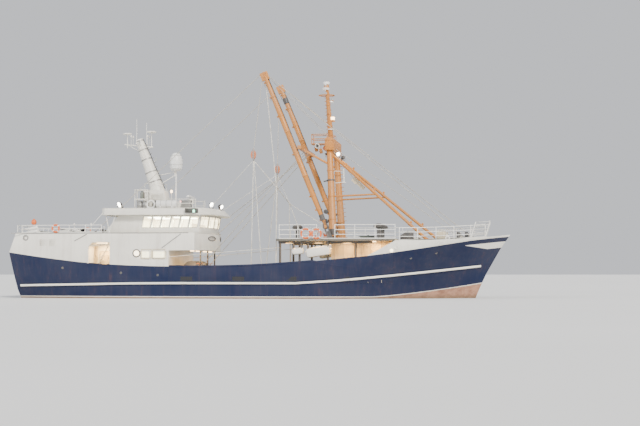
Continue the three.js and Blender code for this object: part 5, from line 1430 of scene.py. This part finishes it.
# Collars, rungs, lamps and head gear of the pole mast, and what hangs under the lookout.
def fit_pole_mast():
    foot, head = Vector((5.08, 0, 11.1)), Vector((4.76, 0, 15.25))
    along = (head - foot).normalized()

    def on_pole(z):
        return foot + (head - foot) * ((z - foot.z) / (head.z - foot.z))

    begin("pole_mast_collars")
    for z, radius in ((11.3, 0.19), (12.1, 0.18), (12.95, 0.165), (13.6, 0.15), (14.4, 0.135)):
        band(radius - 0.01, radius + 0.02, 0.03, on_pole(z), along, 24)
    for k in range(13):
        z = 11.35 + 0.25 * k
        spot = on_pole(z) - Vector((0.17 - 0.02 * k * 0.25, 0, 0))
        rod(spot - Vector((0.1, 0.15, 0)), spot - Vector((0.1, -0.15, 0)), 0.011, sides=8)
        for y in (-0.15, 0.15):
            rod(spot - Vector((0.1, -y, 0)), spot + Vector((0.06, y * 0.4, 0)), 0.011, sides=8)
    finish(buff)
    begin("pole_mast_lamps")
    turned([(0.125, 0), (0.15, 0.015), (0.15, 0.2), (0.125, 0.215)], (5.2, 0, 12.53))
    finish(lamp_warm)
    begin("pole_mast_signal_lamps")
    for z, reach in ((13.92, 0.3), (12.0, 0.22)):
        spot = on_pole(z)
        turned([(0.05, 0), (0.07, 0.015), (0.065, 0.14), (0.03, 0.17)], (spot.x + reach, 0, z))
    for y in (-0.35, 0.35):
        turned([(0.05, 0), (0.065, 0.015), (0.06, 0.13), (0.03, 0.16)], (4.78, y, 14.3))
    finish(lamp_unlit)
    begin("pole_mast_head_gear")
    turned([(0.1, 0), (0.23, 0.03), (0.24, 0.16), (0.2, 0.22), (0.05, 0.26)], (4.76, 0, 15.02), sides=28)
    rod((4.76, 0, 15.2), (4.76, 0, 15.24), 0.05)
    for y in (-0.2, 0.22):
        rod((4.72, y, 14.3), (4.72, y, 14.95), 0.014)
        turned([(0.02, 0), (0.07, 0.02), (0.07, 0.12), (0.03, 0.16)], (4.72, y, 14.95), sides=16)
    turned([(0.12, -0.1), (0.25, -0.06), (0.25, 0.08), (0.14, 0.14)], (4.72, 0, 14.72), sides=28)
    turned([(0.02, 0), (0.13, 0.03), (0.15, 0.12), (0.03, 0.2)], (5.12, 0, 13.9), (0, 0, -1), 20)
    finish(plastic)
    begin("pole_mast_yard")
    rod((4.8, -0.62, 14.62), (4.8, 0.62, 14.62), 0.022)
    rod((4.9, -0.4, 13.0), (4.9, 0.4, 13.0), 0.022)
    slab((4.85, -0.07, 13.22), (5.12, 0.07, 13.25), 0.004)
    for y in (-0.5, 0.5):
        rod((5.38, y, 11.08), (5.38, y, 11.42), 0.018)
        rod((5.38, y, 11.4), (4.96, y, 11.4), 0.018)
    rod((5.38, -0.5, 11.4), (5.38, 0.5, 11.4), 0.018)
    finish(buff)
    begin("pole_mast_flange")
    turned([(0.15, -0.04), (0.25, -0.03), (0.25, 0.03), (0.15, 0.05)], (5.06, 0, 11.86), sides=28)
    finish(plastic)
    begin("lookout_lamp")
    turned([(0.1, 0), (0.15, 0.02), (0.145, 0.1), (0.13, 0.105)], (4.24, -0.68, 10.66), (-0.3, -0.9, -0.2))
    finish(dark)
    begin("lookout_lamp_rim")
    ring((4.21, -0.775, 10.638), 0.15, 0.034, (-0.3, -0.9, -0.2), 28, 10)
    finish(roof_white)
    for x, y, z in ((4.0, 0.3, 10.5), (4.4, -0.25, 10.32)):
        begin("lookout_block_%d" % (1 if y > 0 else 2))
        for dy in (-0.06, 0.06):
            plank((x, y + dy, z), (0.2, 0.02, 0.34), (1, 0, 0.25), (0, 0, 1), 0.006)
        sheave(0.11, 0.125, 0.095, 0.04, 0.035, (x, y, z - 0.03))
        rod((x, y - 0.08, z - 0.03), (x, y + 0.08, z - 0.03), 0.025)
        rod((x, y, z + 0.12), (x, y, LOOKOUT_FLOOR), 0.018)
        finish(buff)
    begin("lookout_lamp_bracket")
    rod((4.24, -0.56, 10.8), (4.24, -0.68, 10.68), 0.03)
    for k in range(5):
        y = -0.5 + 0.25 * k
        rod((3.76, y, 10.84), (4.9, y, 10.84), 0.008, sides=6)
    finish(buff)


# Where the fore guys are made fast on the foredeck.
FORE_GUY_FEET = {
    "starboard": Vector((14.5, -1.4, deck_under("forecastle", 14.5, -1.4) + 0.05)),
    "port": Vector((15.0, 1.25, deck_under("forecastle", 15.0, 1.25) + 0.05)),
}


# The frame of a boom: its pin, the way across it and the way up it.
def boom_frame(side):
    pin = Vector((math.cos(RAKE), 0, math.sin(RAKE)))
    up = Vector((-math.sin(RAKE), 0, math.cos(RAKE)))
    turn = -side * SPLAY
    up = up * math.cos(turn) + pin.cross(up) * math.sin(turn)
    return Vector((HEEL.x, side * HEEL.y, HEEL.z)), pin, up.cross(pin), up


def on_boom(side, far, out=0.0, across=0.0):
    heel, pin, over, up = boom_frame(side)
    return heel + up * far + pin * out + over * across


# Bands, sheaves, pipes and heel fittings of the booms, and the fittings of their hanging blocks.
def fit_booms():
    for word, side in SIDES:
        body = "boom_" + word
        heel, pin, over, up = boom_frame(side)
        begin("boom_bands_" + word)
        for far, radius in ((0.55, 0.135), (1.3, 0.16), (2.3, 0.19), (5.4, 0.19), (8.2, 0.19), (9.6, 0.175),
                            (10.7, 0.15)):
            band(radius - 0.02, radius + 0.02, 0.045, on_boom(side, far), up)
            plank(on_boom(side, far, -radius - 0.05), (0.1, 0.03, 0.12), pin, up, 0.01)
        finish(buff, body)
        begin("boom_head_" + word)
        for across in (-0.11, 0.11):
            plank(on_boom(side, 11.13, -0.02, across), (0.54, 0.022, 0.56), pin, up, 0.01)
        sheave(0.16, 0.19, 0.15, 0.07, 0.065, on_boom(side, 11.1, -0.07), over, 28)
        rod(on_boom(side, 11.1, -0.07, -0.15), on_boom(side, 11.1, -0.07, 0.15), 0.035)
        rod(on_boom(side, 11.3, 0.12, -0.15), on_boom(side, 11.3, 0.12, 0.15), 0.03)
        finish(buff, body)
        begin("boom_shackles_" + word)
        for far in (10.55, 9.5, 5.4):
            spot = on_boom(side, far, -0.24)
            ring(spot, 0.055, 0.014, over, 20, 8)
            ring(spot - up * 0.08 - pin * 0.02, 0.05, 0.014, pin, 20, 8)
        finish(steel, body)
        begin("boom_pipes_" + word)
        for across in (-0.06, 0.0, 0.06):
            rod(on_boom(side, 0.9, 0.17, across), on_boom(side, 8.4, 0.205, across), 0.016, sides=8)
            rod(on_boom(side, 8.4, 0.205, across), on_boom(side, 11.0, 0.165, across), 0.016, sides=8)
        for far in (1.2, 2.6, 4.0, 5.4, 6.8, 8.2, 9.6, 10.8):
            plank(on_boom(side, far, 0.2 if far < 9 else 0.175), (0.05, 0.2, 0.05), pin, up, 0.006)
        finish(dark, body)
        begin("boom_heel_fork_" + word)
        turned([(0.12, -0.2), (0.165, -0.18), (0.178, 0.2), (0.14, 0.22)], on_boom(side, 0.66), up, 28)
        for along in (-0.11, 0.11):
            plank(heel + pin * along * 0.55 + up * 0.34, (0.02, 0.3, 0.5), pin, up, 0.006)
        finish(dark, body)
        if side > 0:
            begin("boom_lashing_port")
            turned([(0.17, -0.22), (0.2, -0.2), (0.205, 0.2), (0.17, 0.22)], on_boom(side, 10.2), up, 28)
            finish(dark, body)
        begin("boom_pin_nuts_" + word)
        for end in (-1, 1):
            spot = heel + pin * end * 0.175
            turned([(0.1, -0.02), (0.11, -0.01), (0.11, 0.02), (0.06, 0.035)] if end > 0 else
                   [(0.06, -0.035), (0.11, -0.02), (0.11, 0.01), (0.1, 0.02)], spot, pin, 12)
        finish(steel)
        begin("block_fittings_" + word)
        x, z = (0.17, 10.16) if side < 0 else (0.69, 9.65)
        y = side * 3.6
        for dy in (-0.1, 0.1):
            plank((x, y + dy, z - 0.33), (0.1, 0.018, 0.74), edge=0.006)
        rod((x, y - 0.13, z - 0.33), (x, y + 0.13, z - 0.33), 0.045)
        ring((x, y, z + 0.03), 0.06, 0.018, (0, 1, 0), 20, 8)
        ring((x, y, z - 0.72), 0.06, 0.018, (1, 0, 0), 20, 8)
        finish(steel, body)


# The rigging, all taut: stays, guys, warps and falls between the booms, the gantry and the decks.
# Those that lead to a boom are attached to no body.
def rig():
    for word, side in SIDES:
        body = "boom_" + word
        tip = on_boom(side, 11.4, 0.05)
        fore_foot = FORE_GUY_FEET[word]
        stay("boom_fore_guy_" + word, tip, fore_foot, 0.022, wire_rope, body)
        stay("boom_aft_guy_" + word, on_boom(side, 11.4, -0.1), (-10.9, side * 3.62, 4.62), 0.022,
             wire_rope, body)
        stay("boom_topping_lift_" + word, on_boom(side, 11.05, 0.17), (5.25, side * 1.5, 11.0), 0.016,
             wire_rope, body)
        stay("boom_preventer_" + word, on_boom(side, 5.4, -0.24), (REST_BEAM_X, side * 3.3, REST_BEAM_Z),
             0.011, fibre_rope, body)
        x, z = (0.17, 9.42) if side < 0 else (0.69, 8.92)
        y = side * 3.6
        for k, (fx, radius) in enumerate(((-0.15, 0.03), (0.68, 0.026))):
            stay("block_fall_%s_%d" % (word, k + 1), (x + 0.04 * k, y, z), (fx, side * 2.76, DECK + 0.06),
                 radius, fibre_rope, body)
        stay("block_back_guy_" + word, (x - 0.03, y, z), (-3.15, side * 2.2, 6.24), 0.018, fibre_rope, body)
        stay("warp_" + word, (-4.12, side * 1.2, 2.0), (REST_BEAM_X, side * 1.2, REST_BEAM_Z), 0.022,
             wire_rope)
    stay("gantry_back_stay_port", (REST_BEAM_X, 1.3, REST_BEAM_Z), (-2.66, 2.3, 5.8), 0.022, wire_rope)
    stay("gantry_back_stay_middle", (REST_BEAM_X, 0.0, REST_BEAM_Z), (-3.0, 0.0, 4.52), 0.022, wire_rope)
    for word, side in SIDES:
        stay("waist_line_" + word, (1.9, side * 3.2, 3.48), (-5.68, side * 3.86, 2.85), 0.02, fibre_rope)
    # Falls made fast to one another at two places, and led from there to the decks.
    near, far = Vector((1.67, -3.0, 7.64)), Vector((2.2, -0.5, 6.62))
    stay("tip_fall", on_boom(-1, 11.1, 0.0), near, 0.028, fibre_rope, "boom_starboard")
    stay("block_fall_to_knot_starboard", (0.2, -3.6, 9.42), near, 0.024, fibre_rope, "boom_starboard")
    stay("block_fall_to_knot_port", (0.69, 3.6, 8.92), far, 0.02, fibre_rope, "boom_port")
    for k, (a, b) in enumerate(((near, (1.64, -3.0, DECK + 0.05)), (near, far), (far, (5.28, -2.75, 4.75)),
                                (far, (2.2, -0.5, SHELTER_TOP)), (far, (3.23, -0.9, SHELTER_TOP)))):
        stay("knotted_fall_%d" % (k + 1), a, b, 0.028, fibre_rope)
    begin("fall_knots")
    for spot in (near, far):
        ball(spot, 0.06, (1, 1, 1.4))
        ring(spot, 0.06, 0.022, (1, 0, 0.3), 16, 8)
    finish(fibre_rope)
    begin("rigging_eye_plates")
    spots = [(-10.9, side * 3.62, 4.53) for side in (-1, 1)]
    spots += [(x, side * 2.76, DECK) for x in (-0.15, 0.68) for side in (-1, 1)]
    spots += [(1.64, -3.0, DECK), (2.2, -0.5, SHELTER_TOP), (3.23, -0.9, SHELTER_TOP)]
    spots += [(x, y, z - 0.05) for x, y, z in FORE_GUY_FEET.values()]
    for x, y, z in spots:
        plank((x, y, z + 0.05), (0.16, 0.022, 0.14), edge=0.008)
        slab((x - 0.11, y - 0.06, z), (x + 0.11, y + 0.06, z + 0.018), 0.004)
    finish(dark)


# The forecastle and foredeck: lamps, rope boxes, fairleads, vents and the ropes kept there.
def fit_bow():
    for word, side in SIDES:
        spot = skin("forecastle", 9.64, 3.25, side)
        begin("forecastle_lamp_" + word)
        turned([(0.1, 0), (0.11, 0.03), (0.1, 0.07), (0.05, 0.09)], spot, (0, side, 0))
        finish(lamp_and_window_glow)
        begin("foredeck_rope_box_" + word)
        top = deck_under("forecastle", 12.9, side * 1.95)
        slab((12.62, side * 1.95 - 0.26, top), (13.2, side * 1.95 + 0.26, top + 0.56), 0.02)
        slab((12.59, side * 1.95 - 0.29, top + 0.56), (13.23, side * 1.95 + 0.29, top + 0.61), 0.01)
        finish(cream)
        begin("bow_fairleads_" + word)
        for x, z in ((9.95, 3.32), (13.4, 3.93)):
            spot = skin("forecastle", x, z + 0.16, side)
            ring((x, spot.y, z + 0.16), 0.12, 0.035, (0, 1, 0.1 * side), 28, 10)
        finish(roof_white)
        begin("mooring_rope_coil_" + word)
        for k in range(5):
            ring((11.15, side * 1.65, 4.0 + 0.04 * k), 0.34 - 0.015 * (k % 2), 0.026, (0, 0, 1), 36, 8)
            ring((11.15, side * 1.65, 4.0 + 0.04 * k), 0.27, 0.026, (0, 0, 1), 32, 8)
        finish(fibre_rope)
    begin("windlass_rope")
    for k in range(13):
        ring((12.85, -0.36 + 0.06 * k, 4.42), 0.325, 0.032, (0, 1, 0), 32, 8)
    finish(fibre_rope)
    begin("bow_vents")
    for y in (-0.9, 0.9):
        turned([(0.09, 0), (0.09, 0.4), (0.2, 0.42), (0.21, 0.52), (0.12, 0.6)], (11.3, y, 4.0), sides=24)
    finish(white)


# The boat deck aft: vents, bollards, locker, skylight, ladder and what hangs on its rails.
def fit_boat_deck():
    begin("boat_deck_vents")
    for x, y in ((-15.6, -2.2), (-15.6, 2.2), (-12.4, -2.9), (-12.4, 2.9)):
        turned([(0.11, 0), (0.11, 0.55), (0.25, 0.58), (0.26, 0.7), (0.16, 0.8)], (x, y, BOAT_DECK), sides=24)
    finish(white)
    begin("boat_deck_bollards")
    for side in (-1, 1):
        slab((-14.5, side * 3.0 - 0.16, BOAT_DECK), (-13.5, side * 3.0 + 0.16, BOAT_DECK + 0.04), 0.01)
        for x in (-14.25, -13.75):
            turned([(0.12, 0), (0.12, 0.38), (0.14, 0.4), (0.14, 0.43), (0.1, 0.45)],
                   (x, side * 3.0, BOAT_DECK))
    finish(dark)
    begin("boat_deck_locker")
    slab((-12.2, -1.1, BOAT_DECK + 0.03), (-11.2, 1.1, BOAT_DECK + 0.62), 0.03)
    slab((-12.25, -1.15, BOAT_DECK + 0.62), (-11.15, 1.15, BOAT_DECK + 0.68), 0.02)
    finish(cream)
    begin("boat_deck_skylight")
    slab((-14.6, -0.7, BOAT_DECK), (-13.2, 0.7, BOAT_DECK + 0.35), 0.02)
    slab((-14.66, -0.76, BOAT_DECK + 0.35), (-13.14, 0.76, BOAT_DECK + 0.42), 0.02)
    finish(green)
    for word, side in SIDES:
        lifebuoy("quarter_lifebuoy_" + word, (-13.7, side * 3.84, 4.83), (0, side, 0), 0.24)
        begin("roof_guy_" + word)
        rod((-10.4, side * 3.6, 5.9), (-11.6, side * 3.66, 4.54), 0.02)
        finish(rail_white)
    begin("rail_buoys")
    radius = 0.19
    turned([(radius * 0.3, -radius), (radius * 0.75, -radius * 0.72), (radius, -radius * 0.1),
            (radius * 0.8, radius * 0.62), (radius * 0.35, radius * 1.05), (radius * 0.2, radius * 1.25)],
           (-15.34, -3.6, 5.28), sides=24)
    finish(buoy_orange)
    begin("boat_deck_rail_posts")
    for x in (-11.2, -12.4):
        for side in (-1, 1):
            y = side * 3.72
            rod((x, y, 4.52), (x, y, 5.08), 0.03)
            turned([(0.05, 0), (0.06, 0.01), (0.055, 0.09), (0.02, 0.12)], (x, y, 5.08))
    finish(rail_white)
    begin("boat_deck_ladder")
    for y in (-0.22, 0.22):
        rod((-9.35, 2.2 + y, BOAT_DECK), (-9.0, 2.2 + y, 6.3), 0.022)
    for k in range(8):
        share = 0.08 + 0.12 * k
        x, z = -9.35 + 0.35 * share, BOAT_DECK + 2.35 * share
        rod((x, 1.98, z), (x, 2.42, z), 0.014)
    finish(rail_white)
    begin("propeller_nut")
    turned([(0.12, 0), (0.12, 0), (0.1, 0.12), (0.04, 0.18)], (-14.1, 0, -1.95), (-1, 0, 0), 16)
    finish(bronze, "propeller")


# The camera stands where the photograph was taken, across the water, and sees the ship
# from its starboard side, a little forward of abeam.
PICTURE_WIDTH = 640
FOCAL_PIXELS = 1420.0
SENSOR = 36.0
CAMERA_YAW = math.radians(-7.3)
HORIZON_ROW, MIDDLE_ROW = 270, 213
CAMERA_PITCH = math.atan((HORIZON_ROW - MIDDLE_ROW) / FOCAL_PIXELS)
CAMERA_DISTANCE = 100.0
CAMERA_HEIGHT = 1.95
AIM_X = 4.3


def make_camera():
    sine, cosine = math.sin(CAMERA_YAW), math.cos(CAMERA_YAW)
    eye = Vector((AIM_X - CAMERA_DISTANCE * sine, -CAMERA_DISTANCE * cosine, CAMERA_HEIGHT))
    look = Vector((sine * math.cos(CAMERA_PITCH), cosine * math.cos(CAMERA_PITCH), math.sin(CAMERA_PITCH)))
    data = bpy.data.cameras.new("camera")
    data.sensor_width = SENSOR
    data.lens = SENSOR * FOCAL_PIXELS / PICTURE_WIDTH
    data.clip_end = 600
    camera = bpy.data.objects.new("camera", data)
    camera.location = eye
    camera.rotation_euler = look.to_track_quat("-Z", "Y").to_euler()
    bpy.context.scene.collection.objects.link(camera)
    bpy.context.scene.camera = camera


def sun(name, towards, power, spread, colour=(1, 1, 1)):
    data = bpy.data.lights.new(name, "SUN")
    data.energy = power
    data.angle = math.radians(spread)
    data.color = colour
    lamp = bpy.data.objects.new(name, data)
    lamp.rotation_euler = Vector(towards).to_track_quat("-Z", "Y").to_euler()
    bpy.context.scene.collection.objects.link(lamp)


def glow(name, place, power, size, colour):
    data = bpy.data.lights.new(name, "AREA")
    data.energy = power
    data.size = size
    data.color = colour
    lamp = bpy.data.objects.new(name, data)
    lamp.location = place
    lamp.visible_camera = False
    lamp.visible_glossy = False
    lamp.visible_transmission = False
    bpy.context.scene.collection.objects.link(lamp)


def make_studio():
    world = bpy.data.worlds.new("studio")
    world.use_nodes = True
    world.node_tree.nodes["Background"].inputs["Color"].default_value = (0.93, 0.95, 1.0, 1)
    world.node_tree.nodes["Background"].inputs["Strength"].default_value = 0.8
    bpy.context.scene.world = world
    floor = begin("floor")
    bpy.ops.mesh.primitive_circle_add(vertices=64, radius=580, fill_type="NGON", location=(0, 0, 0))
    take(floor)
    material, tree, shader, place = new_material("studio_floor", "floor")
    patches = remap(tree, noise(tree, place, 0.05, 3.0), 0.3, 0.7)
    shade = blendnode(tree, patches, (0.79, 0.79, 0.78), (0.82, 0.82, 0.81))
    link(tree, shade, shader.inputs["Base Color"])
    shader.inputs["Roughness"].default_value = 0.7
    floor.data.materials.append(material)
    sun("key_light", (-0.45, 0.75, -0.62), 4.4, 16, (1.0, 0.96, 0.9))
    sun("fill_light", (0.8, 0.5, -0.35), 1.3, 50, (0.9, 0.94, 1.0))
    # Warm light from the lamps that are lit aboard.
    for side in (-1, 1):
        glow("passage_glow", (-10.5, side * 3.2, 3.7), 130, 0.4, (1.0, 0.66, 0.3))
        for x in (2.6, 4.6, 6.6, 8.6):
            glow("shelter_glow", (x, side * 3.2, 3.8), 90, 0.5, (1.0, 0.58, 0.2))
    for y in (-2.8, 0.0, 2.8):
        glow("overhang_glow", (-4.0, y, 3.2), 70, 0.4, (1.0, 0.6, 0.24))
        for x in (-7.6, -5.4):
            glow("wheelhouse_glow", (x, y, 5.6), 90, 0.5, (1.0, 0.85, 0.6))


make_camera()
make_studio()
dress_construction()
glaze_wheelhouse()
furnish_wheelhouse()
fit_liferaft()
fit_roof()
fit_aft_mast()
fit_passages()
fit_deckhouse()
fit_bulwarks()
fit_working_deck()
fit_shelter()
fit_gantry()
fit_pole_mast()
fit_booms()
rig()
fit_bow()
fit_boat_deck()
